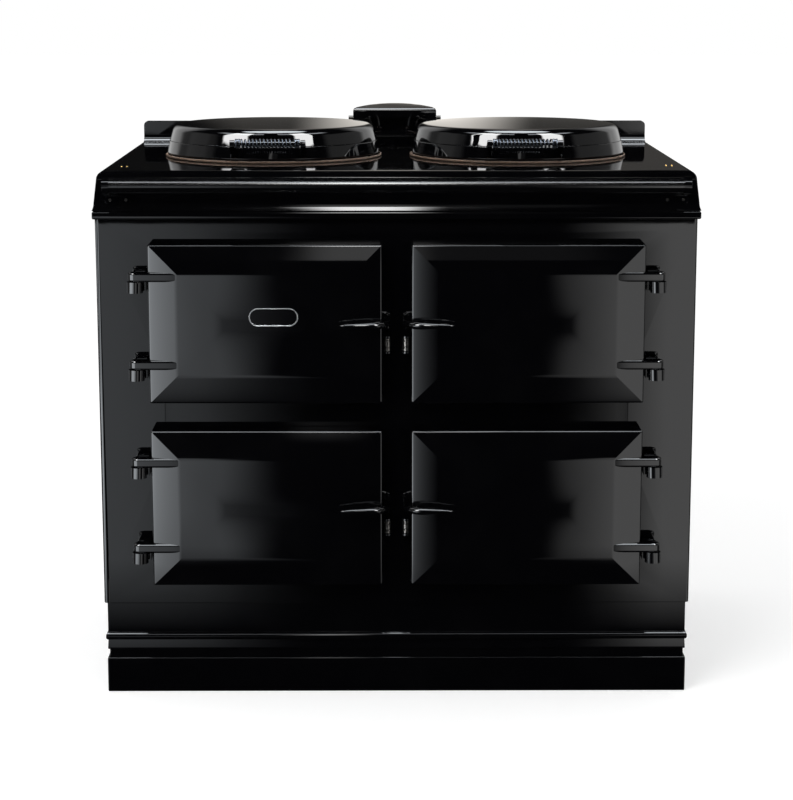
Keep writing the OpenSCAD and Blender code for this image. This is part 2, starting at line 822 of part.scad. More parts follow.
module catch_brackets() {
    color(enamel) for (p = door_places) hinge_side(p[0], p[1] - roller_down) {
        half = roller_h / 2 + fit;
        block([roller_x - catch_w / 2, ahead(catch_t), -half - ear_t],
              [roller_x + catch_w / 2, front_y, half + ear_t]);
        for (z = [-half - ear_t, half]) {
            block([roller_x - catch_w / 2, ahead(roller_ahead), z],
                  [roller_x + catch_w / 2, ahead(1), z + ear_t]);
            translate([roller_x, ahead(roller_ahead), z])
                cylinder(r = catch_w / 2, h = ear_t, $fn = small_fn);
        }
        translate([roller_x, ahead(roller_ahead), -half - 1])
            cylinder(r = roller_pin_r, h = 2 * half + 2, $fn = small_fn);
    }
}

module catch_roller(side, z) {
    color(steel) hinge_side(side, z - roller_down) translate([roller_x, ahead(roller_ahead), -roller_h / 2])
        difference() {
            cylinder(r = roller_r, h = roller_h, $fn = small_fn);
            translate([0, 0, -1]) cylinder(r = roller_pin_r + roller_clear, h = roller_h + 2, $fn = small_fn);
        }
}

// ---- Ovens

rib_h = 6;
rib_out = 7;
rib_zs = [for (i = [0:2]) -oven_h / 2 + runner_low + i * runner_pitch];
shelf_l = oven_d - 40;

module oven(side, z) {
    color(dark_iron) translate([side * door_x, 0, z]) {
        difference() {
            slab_y(behind(front_t), behind(oven_back))
                round_rect(oven_outer_w, oven_outer_h, oven_r + oven_wall);
            slab_y(behind(front_t - 1), behind(front_t + oven_d)) round_rect(oven_w, oven_h, oven_r);
        }
        both_sides() for (r = rib_zs)
            block([oven_w / 2 - rib_out, behind(front_t + 20), r],
                  [oven_w / 2 + 1, behind(front_t + shelf_l), r + rib_h]);
    }
}

shelf_wire_r = 3;
shelf_bar_r = 2;
shelf_rest = 0.1;
bar_count = 11;

module wire_y(x, y0, y1, z, r) {
    translate([x, y0, z]) rotate([-90, 0, 0]) cylinder(r = r, h = y1 - y0, $fn = 16);
}

module wire_x(y, x0, x1, z, r) {
    translate([x0, y, z]) rotate([0, 90, 0]) cylinder(r = r, h = x1 - x0, $fn = 16);
}

// A wire shelf resting on the lowest runners of an oven
module oven_shelves() {
    half = oven_w / 2 - shelf_wire_r;
    bar_z = shelf_rest + shelf_bar_r;
    y0 = behind(front_t + 24);
    y1 = behind(front_t + shelf_l - 4);
    color(steel) for (i = [1:3])
        translate([door_places[i][0] * door_x, 0, door_places[i][1] + rib_zs[0] + rib_h]) {
        for (s = [-1, 1]) wire_y(s * half, y0, y1, shelf_rest + shelf_wire_r, shelf_wire_r);
        for (y = [y0 + 4, (y0 + y1) / 2, y1 - 4])
            wire_x(y, -half, half, shelf_rest + shelf_wire_r, shelf_wire_r);
        for (b = [1:bar_count])
            wire_y(-half + 2 * half * b / (bar_count + 1), y0 + 4, y1 - 4, shelf_wire_r + bar_z, shelf_bar_r);
    }
}

heater_margin = 60;

module oven_heaters() {
    run = oven_outer_w / 2 - heater_margin;
    y0 = behind(front_t + heater_margin);
    y1 = behind(oven_back - heater_margin - run / 2);
    color(dark_steel) for (i = [1:3])
        translate([door_places[i][0] * door_x, 0, door_places[i][1] - oven_outer_h / 2 - heater_r]) {
            for (s = [-1, 1]) wire_y(s * run / 2, y0, y1, 0, heater_r);
            translate([0, y1, 0]) rotate_extrude(angle = 180, $fn = round_fn)
                translate([run / 2, 0]) circle(heater_r, $fn = 16);
        }
}

seal_in = 3;
seal_w = 10;

module oven_rope_seals() {
    color(rope_brown) for (p = door_places) translate([p[0] * door_x, 0, p[1]])
        slab_y(ahead(seal_t), front_y) difference() {
            round_rect(oven_mouth_w + 2 * (seal_in + seal_w), oven_mouth_h + 2 * (seal_in + seal_w),
                       oven_r + seal_w - 2);
            round_rect(oven_mouth_w + 2 * seal_in, oven_mouth_h + 2 * seal_in, oven_r);
        }
}

// ---- Controls

panel_in = 46;
panel_plate_t = 3;

module control_box() {
    color(steel) translate([-door_x, 0, upper_door_z]) difference() {
        slab_y(behind(front_t), behind(front_t + control_d + oven_wall))
            round_rect(oven_outer_w, oven_outer_h, oven_r + oven_wall);
        slab_y(behind(front_t - 1), behind(front_t + control_d)) round_rect(oven_w, oven_h, oven_r);
    }
}

module control_panel() {
    color(dark_steel) translate([-door_x, 0, upper_door_z]) difference() {
        slab_y(behind(panel_in), behind(panel_in + panel_plate_t))
            round_rect(oven_w - 2 * fit, oven_h - 2 * fit, oven_r - fit);
        for (s = [-1, 1]) translate([s * knob_spacing / 2, behind(panel_in - 1), 0]) rotate([-90, 0, 0])
            cylinder(r = shaft_r + pin_clear, h = panel_plate_t + 2, $fn = 24);
    }
}

module control_knob(s) {
    color(enamel) translate([-door_x + s * knob_spacing / 2, behind(panel_in - fit), upper_door_z])
        rotate([90, 0, 0]) {
            cylinder(r = knob_r, h = 4, $fn = small_fn);
            cylinder(r = knob_r - 4, h = knob_h, $fn = small_fn);
            translate([0, 0, knob_h / 2 + 2]) cube([7, 2 * knob_r - 4, knob_h], center = true);
            translate([0, 0, -25]) cylinder(r = shaft_r, h = 26, $fn = small_fn);
        }
}

// ---- Lids

skirt_z = hob_z + rope_d + fit;
dome_z = skirt_z + skirt_h + fit;
shoulder_z = dome_z + dome_h;
skirt_taper = 4;
skirt_top_r = lid_r - skirt_taper;
dome_r = skirt_top_r - 0.5;
shoulder_r = 15;
skirt_foot = 3;
liner_t = 2;
liner_dish = 5;
liner_r = dome_r - lid_wall - 2.5;

module at_lid(side) {
    translate([side * lid_x, plate_y, 0]) children();
}

// Outline of the dome as [radius, height]
crown_c = (top_r * top_r + crown_h * crown_h) / (2 * crown_h);

function dome_curve(inset) = concat(
    [[dome_r - inset, dome_z]],
    arc([top_r, shoulder_z - shoulder_r], shoulder_r - inset, 16, 84, 8),
    [for (i = [8:-1:0]) let (r = top_r * 0.97 * i / 8)
        [r, shoulder_z + crown_h - (crown_c - sqrt(crown_c * crown_c - r * r)) - inset]]
);

module lid_dome(side) {
    color(enamel) at_lid(side) rotate_extrude($fn = round_fn)
        difference() {
            polygon(concat(dome_curve(0), [[0, dome_z]]));
            translate([0, -0.01])
                polygon(concat(dome_curve(lid_wall), [[0, dome_z - 1], [dome_r - lid_wall, dome_z - 1]]));
        }
}

hinge_lug_w = 30;
hinge_lug_h = 14;
hinge_ear_r = 9;
hinge_ear_w = 12;
hinge_foot_w = 14;
hinge_foot_l = 28;
hinge_foot_t = 4;
hinge_ear_gap = 2;

module lid_skirt(side) {
    color(enamel) difference() {
        union() {
            at_lid(side) rotate_extrude($fn = round_fn) polygon([
                [lid_r - 2, skirt_z], [lid_r, skirt_z + skirt_foot], [skirt_top_r, skirt_z + skirt_h],
                [skirt_top_r - 10, skirt_z + skirt_h], [skirt_top_r - 10, skirt_z + skirt_h - lid_wall],
                [skirt_top_r - lid_wall - 1, skirt_z + skirt_h - lid_wall], [lid_r - lid_wall - 5, skirt_z]
            ]);
            // lug that reaches back to the hinge pin
            translate([side * lid_x - hinge_lug_w / 2, 0, 0]) {
                block([0, plate_y + skirt_top_r - 4, lid_axis_z - hinge_lug_h / 2],
                      [hinge_lug_w, behind(lid_axis_back), lid_axis_z + hinge_lug_h / 2]);
                translate([0, behind(lid_axis_back), lid_axis_z]) rotate([0, 90, 0])
                    cylinder(r = hinge_ear_r, h = hinge_lug_w, $fn = small_fn);
            }
        }
        translate([side * lid_x - hinge_lug_w, behind(lid_axis_back), lid_axis_z]) rotate([0, 90, 0])
            cylinder(r = lid_pin_r + pin_clear, h = 2 * hinge_lug_w, $fn = small_fn);
    }
}

module lid_liner(side) {
    color(steel) at_lid(side) rotate_extrude($fn = round_fn) polygon([
        [0, dome_z - fit - liner_dish],
        [liner_r - 30, dome_z - fit - liner_dish], [liner_r - 12, dome_z - fit],
        [liner_r, dome_z - fit], [liner_r, dome_z - fit + liner_t], [liner_r - 13, dome_z - fit + liner_t],
        [liner_r - 31, dome_z - fit - liner_dish + liner_t], [0, dome_z - fit - liner_dish + liner_t]
    ]);
}

module lid_hinge_brackets() {
    ear_x = hinge_lug_w / 2 + hinge_ear_gap + hinge_ear_w / 2;
    color(enamel) for (s = [LEFT, RIGHT], e = [-1, 1])
        translate([s * lid_x + e * ear_x, behind(lid_axis_back), 0]) difference() {
            union() {
                block([-hinge_foot_w / 2, -hinge_foot_l / 2, hob_z],
                      [hinge_foot_w / 2, hinge_foot_l / 2, hob_z + hinge_foot_t]);
                block([-hinge_ear_w / 2, -hinge_ear_r, hob_z], [hinge_ear_w / 2, hinge_ear_r, lid_axis_z]);
                translate([-hinge_ear_w / 2, 0, lid_axis_z]) rotate([0, 90, 0])
                    cylinder(r = hinge_ear_r, h = hinge_ear_w, $fn = small_fn);
            }
            translate([-hinge_ear_w, 0, lid_axis_z]) rotate([0, 90, 0])
                cylinder(r = lid_pin_r + press, h = 2 * hinge_ear_w, $fn = small_fn);
        }
}

grip_y = plate_y - skirt_top_r - grip_out;
grip_z = skirt_z + grip_up;
grip_half = coil_l / 2 + collar_l;
post_x = grip_half + 5;

// Posts, rod and collars of a lid's handle
module lid_handle(side) {
    color(dark_steel) translate([side * lid_x, 0, 0]) {
        translate([-post_x - 4, grip_y, grip_z]) rotate([0, 90, 0])
            cylinder(r = grip_rod_d / 2, h = 2 * post_x + 8, $fn = small_fn);
        both_sides() {
            translate([coil_l / 2 + fit, grip_y, grip_z]) rotate([0, 90, 0])
                cylinder(r = coil_d / 2 - 0.5, h = collar_l - fit, $fn = small_fn);
            difference() {
                hull() {
                    translate([post_x - 4, grip_y, grip_z]) rotate([0, 90, 0])
                        cylinder(r = 6, h = 8, $fn = 32);
                    translate([post_x - 5, plate_y - skirt_top_r - 2, skirt_z + 12]) rotate([0, 90, 0])
                        cylinder(r = 7, h = 10, $fn = 32);
                    translate([post_x - 5, plate_y - skirt_top_r + 14, skirt_z + 12]) rotate([0, 90, 0])
                        cylinder(r = 7, h = 10, $fn = 32);
                }
                translate([0, plate_y, 0]) rotate_extrude($fn = round_fn) polygon([
                    [0, skirt_z - 1], [lid_r + fit, skirt_z - 1], [lid_r + fit, skirt_z + skirt_foot],
                    [skirt_top_r + fit, skirt_z + skirt_h], [0, skirt_z + skirt_h]
                ]);
            }
        }
    }
}

// Points of one ring of the coil's wire
function coil_ring(t, r, w, n) = let (a = 360 * t, x = coil_l * (t / coil_turns - 0.5)) [
    for (j = [0:n - 1]) let (b = 360 * j / n, q = r + w * cos(b)) [x + w * sin(b), q * cos(a), q * sin(a)]
];

coil_steps = 14;
wire_sides = 6;

// Open coil of round wire, wound on the handle's rod
module lid_grip(side) {
    rings = coil_turns * coil_steps;
    r = coil_d / 2 - wire_d / 2;
    squeeze = (coil_l - wire_d - fit) / coil_l;
    points = [for (i = [0:rings]) each coil_ring(i / coil_steps, r, wire_d / 2, wire_sides)];
    color(dark_steel) translate([side * lid_x, grip_y, grip_z]) polyhedron(
        points = [for (p = points) [p[0] * squeeze, p[1], p[2]]],
        faces = concat(
            [[for (j = [0:wire_sides - 1]) j]],
            [for (i = [0:rings - 1], j = [0:wire_sides - 1]) let (k = (j + 1) % wire_sides)
                [i * wire_sides + j, (i + 1) * wire_sides + j, (i + 1) * wire_sides + k, i * wire_sides + k]],
            [[for (j = [wire_sides - 1:-1:0]) rings * wire_sides + j]]
        ), convexity = 10);
}

// ---- Screws

module screw(p, turn, r, h) {
    translate(p) rotate(turn) cylinder(r = r, h = h, $fn = 24);
}

module fixing_screws() {
    color(steel) {
        // vent cap
        both_sides() {
            screw([vent_w / 2 - 3, vent_y, vent_screw_z], [0, 90, 0], 2, 5);
            screw([vent_w / 2, vent_y, vent_screw_z], [0, 90, 0], 4.5, 10);
        }
        // rail bracket flanges
        both_sides() for (x = [8, flange_w - 8])
            screw([rail_l / 2 + 4 - x, ahead(apron_ahead + flange_t), flange_z + 6], [90, 0, 0],
                  screw_r, 1.6);
        // back panel, countersunk flush
        both_sides() for (z = back_screw_zs)
            screw([back_screw_x, back_y - 0.4, z], [90, 0, 0], screw_r, panel_t - 0.4);
    }
}

base_plinth();
levelling_feet();
base_plate();
upper_plinth();
front_plate();
side_panel(LEFT);  // left_side_panel
side_panel(RIGHT);  // right_side_panel
back_panel();
insulation();
top_plate();
hotplate(LEFT);  // left_hotplate
hotplate(RIGHT);  // right_hotplate
hotplate_heaters();
hotplate_rope_seals();
vent_box();
vent_cap();
handrail();
rail_brackets();
fixing_screws();
door_hinge_brackets();
hinge_pins();
catch_brackets();
lid_hinge_brackets();
oven(RIGHT, upper_door_z);  // roasting_oven
oven(LEFT, lower_door_z);  // baking_oven
oven(RIGHT, lower_door_z);  // simmering_oven
oven_heaters();
oven_shelves();
control_box();
control_panel();
control_knob(LEFT);  // left_plate_knob
control_knob(RIGHT);  // right_plate_knob
oven_rope_seals();
place_door(LEFT, upper_door_z) door_casting();  // upper_left_door
place_door(LEFT, upper_door_z) door_liner();  // upper_left_door_liner
place_door(LEFT, upper_door_z + handle_up) latch_handle();  // upper_left_handle
badge_plate();
place_door(RIGHT, upper_door_z) door_casting();  // upper_right_door
place_door(RIGHT, upper_door_z) door_liner();  // upper_right_door_liner
place_door(RIGHT, upper_door_z + handle_up) latch_handle();  // upper_right_handle
place_door(LEFT, lower_door_z) door_casting();  // lower_left_door
place_door(LEFT, lower_door_z) door_liner();  // lower_left_door_liner
place_door(LEFT, lower_door_z + handle_up) latch_handle();  // lower_left_handle
place_door(RIGHT, lower_door_z) door_casting();  // lower_right_door
place_door(RIGHT, lower_door_z) door_liner();  // lower_right_door_liner
place_door(RIGHT, lower_door_z + handle_up) latch_handle();  // lower_right_handle
catch_roller(LEFT, upper_door_z);  // upper_left_roller
catch_roller(RIGHT, upper_door_z);  // upper_right_roller
catch_roller(LEFT, lower_door_z);  // lower_left_roller
catch_roller(RIGHT, lower_door_z);  // lower_right_roller
lid_dome(LEFT);  // left_lid_dome
lid_skirt(LEFT);  // left_lid_skirt
lid_liner(LEFT);  // left_lid_liner
lid_handle(LEFT);  // left_lid_handle
lid_grip(LEFT);  // left_lid_grip
lid_dome(RIGHT);  // right_lid_dome
lid_skirt(RIGHT);  // right_lid_skirt
lid_liner(RIGHT);  // right_lid_liner
lid_handle(RIGHT);  // right_lid_handle
lid_grip(RIGHT);  // right_lid_grip
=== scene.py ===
# %% [markdown]
# # A cast iron range cooker, dressed for its portrait
# The solid parts of this cooker were drawn first, in millimetres, and packed. They come in here as
# a fixed frame: every node already stands where it belongs, and moves with its own body. This file
# gives them their enamel, steel and rope, and rebuilds the pieces that the eye rests on longest:
# the doors with their latches and rollers, the coil grips, the braided ropes and the small plate.

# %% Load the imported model
import math

import bmesh
import bpy
from mathutils import Matrix, Vector


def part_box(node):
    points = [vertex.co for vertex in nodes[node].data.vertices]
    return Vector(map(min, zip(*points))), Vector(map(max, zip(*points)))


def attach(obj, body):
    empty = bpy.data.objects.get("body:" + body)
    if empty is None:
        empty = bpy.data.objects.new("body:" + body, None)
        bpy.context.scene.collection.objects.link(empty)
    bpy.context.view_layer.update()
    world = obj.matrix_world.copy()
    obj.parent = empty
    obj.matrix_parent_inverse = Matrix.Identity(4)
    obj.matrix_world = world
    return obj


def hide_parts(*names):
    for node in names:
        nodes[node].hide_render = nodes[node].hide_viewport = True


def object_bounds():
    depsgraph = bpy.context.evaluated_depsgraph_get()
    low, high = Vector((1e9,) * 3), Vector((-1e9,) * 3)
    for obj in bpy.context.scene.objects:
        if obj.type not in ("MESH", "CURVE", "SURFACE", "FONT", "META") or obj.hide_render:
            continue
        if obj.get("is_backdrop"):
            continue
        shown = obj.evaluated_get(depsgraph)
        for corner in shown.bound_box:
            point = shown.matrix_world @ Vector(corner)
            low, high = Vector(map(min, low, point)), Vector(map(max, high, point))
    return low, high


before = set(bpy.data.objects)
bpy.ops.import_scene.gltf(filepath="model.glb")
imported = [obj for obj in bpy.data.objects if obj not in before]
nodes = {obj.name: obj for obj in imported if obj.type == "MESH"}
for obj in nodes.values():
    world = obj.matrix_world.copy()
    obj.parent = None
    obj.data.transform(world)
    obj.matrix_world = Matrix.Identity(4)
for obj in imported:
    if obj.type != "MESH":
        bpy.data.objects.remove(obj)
cad_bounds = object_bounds()
MM = 0.001
LEFT, RIGHT = -1, 1
SIDES = {"left": LEFT, "right": RIGHT}
DOORS = {"upper_left": LEFT, "upper_right": RIGHT, "lower_left": LEFT, "lower_right": RIGHT}
print("nodes", len(nodes), "box", [round(v, 4) for v in (*cad_bounds[0], *cad_bounds[1])])

# %% [markdown]
# ## Where the camera stands
# The photograph looks at the front almost squarely, from a little left of the middle and from
# above the hob, as a long lens would. Its verticals hardly lean, as if the lens had been shifted
# down. Only a small shift is used here, so that the same camera can be walked round the cooker,
# and a pitch of ten degrees takes its place. Distance, height and lens were fitted together.

# %% Camera
front_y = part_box("front_plate")[0].y
CAMERA_AHEAD = 3.498
CAMERA_HEIGHT = 1.196
CAMERA_LEFT = 0.022
CAMERA_PITCH = math.radians(10.10)
CAMERA_TURN = math.radians(0.355)
CAMERA_LENS = 96.64
CAMERA_SHIFT = -0.05
CAMERA_SENSOR = 36

camera = bpy.data.objects.new("camera", bpy.data.cameras.new("camera"))
bpy.context.scene.collection.objects.link(camera)
camera.location = (-CAMERA_LEFT, front_y - CAMERA_AHEAD, CAMERA_HEIGHT)
camera.rotation_euler = (math.radians(90) - CAMERA_PITCH, 0, -CAMERA_TURN)
camera.data.sensor_width = CAMERA_SENSOR
camera.data.lens = CAMERA_LENS
camera.data.shift_y = CAMERA_SHIFT
bpy.context.scene.camera = camera
bpy.context.scene.view_settings.view_transform = "Standard"
print("camera stands", round(CAMERA_AHEAD, 3), "m ahead of the front plate")

# %% [markdown]
# ## Node helpers
# Every finish below is a small web of shader nodes. A few short helpers keep each web readable:
# one adds a node and sets its plain values, one joins two sockets, and one starts a material.

# %% Node helpers


def add_node(tree, kind, **values):
    """Adds a node; a value that names an input socket sets it, and any other sets a property."""
    node = tree.nodes.new(kind)
    for name, value in values.items():
        if name in node.inputs:
            node.inputs[name].default_value = value
        else:
            setattr(node, name, value)
    return node


def link(tree, start, end):
    tree.links.new(start, end)


def math_node(tree, operation, a, b=None):
    node = add_node(tree, "ShaderNodeMath", operation=operation)
    for socket, value in zip(node.inputs, (a, b)):
        if value is None:
            continue
        if hasattr(value, "is_linked"):
            link(tree, value, socket)
        else:
            socket.default_value = value
    return node.outputs[0]


def ramp(tree, value, low, high, to_low=0.0, to_high=1.0, smooth=True):
    """Maps a value from low..high to to_low..to_high, held at the ends."""
    node = add_node(tree, "ShaderNodeMapRange")
    node.interpolation_type = "SMOOTHSTEP" if smooth else "LINEAR"
    link(tree, value, node.inputs["Value"])
    for name, number in (("From Min", low), ("From Max", high), ("To Min", to_low), ("To Max", to_high)):
        node.inputs[name].default_value = number
    return node.outputs["Result"]


def new_material(name, **shader_values):
    material = bpy.data.materials.new(name)
    material.use_nodes = True
    shader = material.node_tree.nodes["Principled BSDF"]
    for socket, value in shader_values.items():
        shader.inputs[socket].default_value = value
    return material, material.node_tree, shader


# %% [markdown]
# ## The plain light
# The world gives plain white light to everything that scatters it, at a level where a colour
# renders about as it is written. It holds a white backdrop of strength one for the eye, mirrors
# and glass, though the next cells hang a dome in front of it for mirrors. One large soft lamp high
# on the left gives what scatters light, such as rope and lagging, a light and a shade side.

# %% World and key lamp
PLAIN_LIGHT = 0.75
KEY_POWER = 95.0
KEY_SIZE = 2.6
KEY_PLACE = (-2.2, -3.4, 3.6)
KEY_AIM = (0, 0, 0.5)

world = bpy.data.worlds.new("white backdrop")
bpy.context.scene.world = world
world.use_nodes = True
world.node_tree.nodes.clear()
rays = add_node(world.node_tree, "ShaderNodeLightPath")
plain = add_node(world.node_tree, "ShaderNodeBackground", Color=(1, 1, 1, 1), Strength=PLAIN_LIGHT)
white = add_node(world.node_tree, "ShaderNodeBackground", Color=(1, 1, 1, 1), Strength=1.0)
seen = math_node(world.node_tree, "MAXIMUM", rays.outputs["Is Camera Ray"], math_node(
    world.node_tree, "MAXIMUM", rays.outputs["Is Glossy Ray"], rays.outputs["Is Transmission Ray"]))
either = add_node(world.node_tree, "ShaderNodeMixShader")
for start, end in ((seen, 0), (plain.outputs[0], 1), (white.outputs[0], 2)):
    link(world.node_tree, start, either.inputs[end])
world_output = add_node(world.node_tree, "ShaderNodeOutputWorld")
link(world.node_tree, either.outputs[0], world_output.inputs["Surface"])

key = bpy.data.objects.new("key", bpy.data.lights.new("key", "AREA"))
key.data.energy = KEY_POWER
key.data.size = KEY_SIZE
key.location = KEY_PLACE
key.rotation_euler = (Vector(KEY_AIM) - Vector(KEY_PLACE)).to_track_quat("-Z", "Y").to_euler()
key.visible_glossy = False
bpy.context.scene.collection.objects.link(key)
print("plain light", PLAIN_LIGHT, "key lamp", KEY_POWER, "W")

# %% [markdown]
# ## The dark studio round the cooker
# Black enamel is a mirror with four per cent of a mirror's strength, so its look is the look of the
# room. In the photograph it looks as if the cooker stood in a dark room, with a tall soft light on
# each side, a lamp over the camera, a strip overhead, and a pale floor beyond black cloth in front.
# A big dome of cloth carries those lights here. Only mirror rays meet it, so the plain light above
# stays as it is. It hangs in front of the white backdrop, so mirrors show the studio and not the
# backdrop: take the dome and the flags out to see the white one in the enamel.

# %% The studio's lights, by direction
# azimuth from the front in degrees (right is positive), elevation, the feather of each of the four
# edges (azimuth low and high, elevation low and high), strength and tint
COOL = (0.9, 0.95, 1.0)
NEUTRAL = (1.0, 1.0, 1.0)
WARM = (1.0, 0.95, 0.88)
ROOM_LEVEL = 0.007
# a light whose far edge lies between these azimuths stands right behind the cooker
RIGHT_BEHIND = (180, 190)
STUDIO = {
    "left floor, near": ((-34, -1.6), (-40, 1.0), (22, 6.5, 22, 2), 1.0, COOL),
    "left floor, far": ((-80, -7), (-21, 1.0), (12, 34, 9, 2), 6.5, COOL),
    "right floor": ((5.0, 80), (-40, 1.0), (3.2, 14, 22, 2), 1.5, NEUTRAL),
    "left softbox": ((-60, -27), (22, 60), (3, 3, 3, 3), 20.0, NEUTRAL),
    "right softbox": ((26, 53), (22, 60), (3, 3, 3, 3), 20.0, NEUTRAL),
    "lamp over the camera": ((-3.4, 2.2), (22, 45), (2.2, 2.2, 3, 3), 20.0, NEUTRAL),
    "glow under the lamp": ((-3.0, 1.6), (5, 32), (1.6, 1.6, 6, 6), 1.0, NEUTRAL),
    "faint glow, right": ((-0.5, 7), (5, 32), (1.5, 2, 6, 6), 0.09, NEUTRAL),
    "high strip": ((-90, 90), (46, 56), (18, 18, 3, 3), 8.0, COOL),
    "overhead": ((-200, 200), (70, 100), (1, 1, 4, 5), 14.0, COOL),
    "left edge strip": ((-112, -72), (-40, 40), (10, 10, 14, 14), 0.16, NEUTRAL),
    "left side fill": ((-128, -62), (-18, 34), (10, 10, 20, 8), 0.2, NEUTRAL),
    "right side fill": ((60, 134), (-18, 34), (10, 10, 20, 8), 0.3, NEUTRAL),
    "backdrop slit": ((175.5, 182.6), (-8, 16), (3.2, 3, 4, 5), 0.95, WARM),
    "backdrop, right": ((150, 186), (-8, 16), (12, 2, 4, 5), 0.06, WARM),
    "backdrop, high": ((170, 188), (13, 78), (4, 4, 3, 10), 0.45, WARM),
    "back left fill": ((-170, -118), (-30, 50), (18, 12, 18, 18), 1.0, NEUTRAL),
    "back right fill": ((118, 170), (-30, 50), (12, 18, 18, 18), 1.0, NEUTRAL),
}


def window(tree, value, low_high, feather_low, feather_high):
    """One inside low..high, falling to nothing over the feather at each end."""
    low, high = low_high
    rise = ramp(tree, value, low, low + feather_low)
    fall = ramp(tree, value, high - feather_high, high, 1.0, 0.0)
    return math_node(tree, "MULTIPLY", rise, fall)


def vector_sum(tree, one, other):
    both = add_node(tree, "ShaderNodeVectorMath", operation="ADD")
    link(tree, one, both.inputs[0])
    link(tree, other, both.inputs[1])
    return both.outputs[0]


print("studio lights", len(STUDIO))

# %% [markdown]
# ## The dome of cloth
# The dome is one ball, so far away that a place on it is as good as a direction. Its own Object
# coordinates give azimuth and elevation, and each light is a soft-edged window in those two.

# %% Hang the dome
DOME_RADIUS = 60.0


def hide_from_all_but_mirrors(thing):
    thing.visible_camera = thing.visible_diffuse = thing.visible_shadow = False
    thing.visible_transmission = thing.visible_volume_scatter = False
    thing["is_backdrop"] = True


def studio_material():
    material = bpy.data.materials.new("studio_cloth")
    material.use_nodes = True
    tree = material.node_tree
    tree.nodes.clear()
    away = add_node(tree, "ShaderNodeVectorMath", operation="NORMALIZE")
    link(tree, add_node(tree, "ShaderNodeTexCoord").outputs["Object"], away.inputs[0])
    split = add_node(tree, "ShaderNodeSeparateXYZ")
    link(tree, away.outputs[0], split.inputs[0])
    ahead = math_node(tree, "MULTIPLY", split.outputs["Y"], -1.0)
    round_about = math_node(tree, "ARCTAN2", split.outputs["X"], ahead)
    upwards = math_node(tree, "ARCSINE", split.outputs["Z"])
    azimuth = math_node(tree, "MULTIPLY", round_about, 180 / math.pi)
    elevation = math_node(tree, "MULTIPLY", upwards, 180 / math.pi)
    # azimuth counted from 0 to 360, for a light right behind the cooker
    full_turn = math_node(tree, "ADD", azimuth, math_node(
        tree, "MULTIPLY", math_node(tree, "LESS_THAN", azimuth, 0.0), 360.0))
    total = None
    for width, height, feathers, strength, tint in STUDIO.values():
        angle = full_turn if RIGHT_BEHIND[0] < width[1] < RIGHT_BEHIND[1] else azimuth
        glow = add_node(tree, "ShaderNodeVectorMath", operation="SCALE")
        glow.inputs[0].default_value = [strength * c for c in tint]
        link(tree, math_node(tree, "MULTIPLY", window(tree, angle, width, *feathers[:2]),
                             window(tree, elevation, height, *feathers[2:])), glow.inputs["Scale"])
        total = glow.outputs[0] if total is None else vector_sum(tree, total, glow.outputs[0])
    cloth = add_node(tree, "ShaderNodeCombineXYZ", X=ROOM_LEVEL, Y=ROOM_LEVEL, Z=ROOM_LEVEL)
    shine = add_node(tree, "ShaderNodeEmission", Strength=1.0)
    link(tree, vector_sum(tree, total, cloth.outputs[0]), shine.inputs["Color"])
    link(tree, shine.outputs[0], add_node(tree, "ShaderNodeOutputMaterial").inputs["Surface"])
    return material


dome_mesh = bmesh.new()
bmesh.ops.create_uvsphere(dome_mesh, u_segments=48, v_segments=24, radius=DOME_RADIUS)
dome = bpy.data.objects.new("studio_dome", bpy.data.meshes.new("studio_dome"))
dome_mesh.to_mesh(dome.data)
dome_mesh.free()
dome.data.materials.append(studio_material())
bpy.context.scene.collection.objects.link(dome)
hide_from_all_but_mirrors(dome)
print("dome radius", DOME_RADIUS, "m")

# %% [markdown]
# ## Black flags
# The inner slopes of the doors and the plinths stay black in the photograph, although they are
# turned towards the pale floor, as if something black stood close in front. Four flags hang half a
# metre ahead: two for the middle and one low down, with edges thinned like net, and one for the
# front's top. Two nearer ones keep the lamp off the lids' sides. One lies flat over the rail, and
# keeps the overhead strip off the rail and the hob's edge. Only mirror rays meet them.

# %% Hang the flags
# name: X from and to, Z from and to (metres), how far ahead, the axis that thins, opaque from, clear at
# (a "clear at" beyond the cloth leaves its edge hard)
FLAGS = {
    "middle left": (-0.36, 0.0, -0.3, 0.72, 0.55, "X", -0.04, -0.36),
    "middle right": (0.0, 0.52, -0.3, 0.72, 0.55, "X", 0.28, 0.52),
    "low": (-0.9, 0.9, -0.3, 0.08, 0.56, "Z", -0.07, 0.08),
    "upper": (-0.9, 0.9, 0.735, 0.83, 0.57, "Z", 1.0, 2.0),
    "left lid": (-0.275, -0.165, 1.0, 1.3, 0.12, "Z", 2.0, 3.0),
    "right lid": (0.165, 0.275, 1.0, 1.3, 0.12, "Z", 2.0, 3.0),
}


def flag_material(name, axis, opaque, clear):
    material = bpy.data.materials.new(name)
    material.use_nodes = True
    tree = material.node_tree
    tree.nodes.clear()
    split = add_node(tree, "ShaderNodeSeparateXYZ")
    link(tree, add_node(tree, "ShaderNodeTexCoord").outputs["Object"], split.inputs[0])
    black = add_node(tree, "ShaderNodeEmission", Color=(0, 0, 0, 1), Strength=0.0)
    mixed = add_node(tree, "ShaderNodeMixShader")
    link(tree, ramp(tree, split.outputs[axis], opaque, clear, smooth=False), mixed.inputs[0])
    link(tree, black.outputs[0], mixed.inputs[1])
    link(tree, add_node(tree, "ShaderNodeBsdfTransparent").outputs[0], mixed.inputs[2])
    link(tree, mixed.outputs[0], add_node(tree, "ShaderNodeOutputMaterial").inputs["Surface"])
    return material


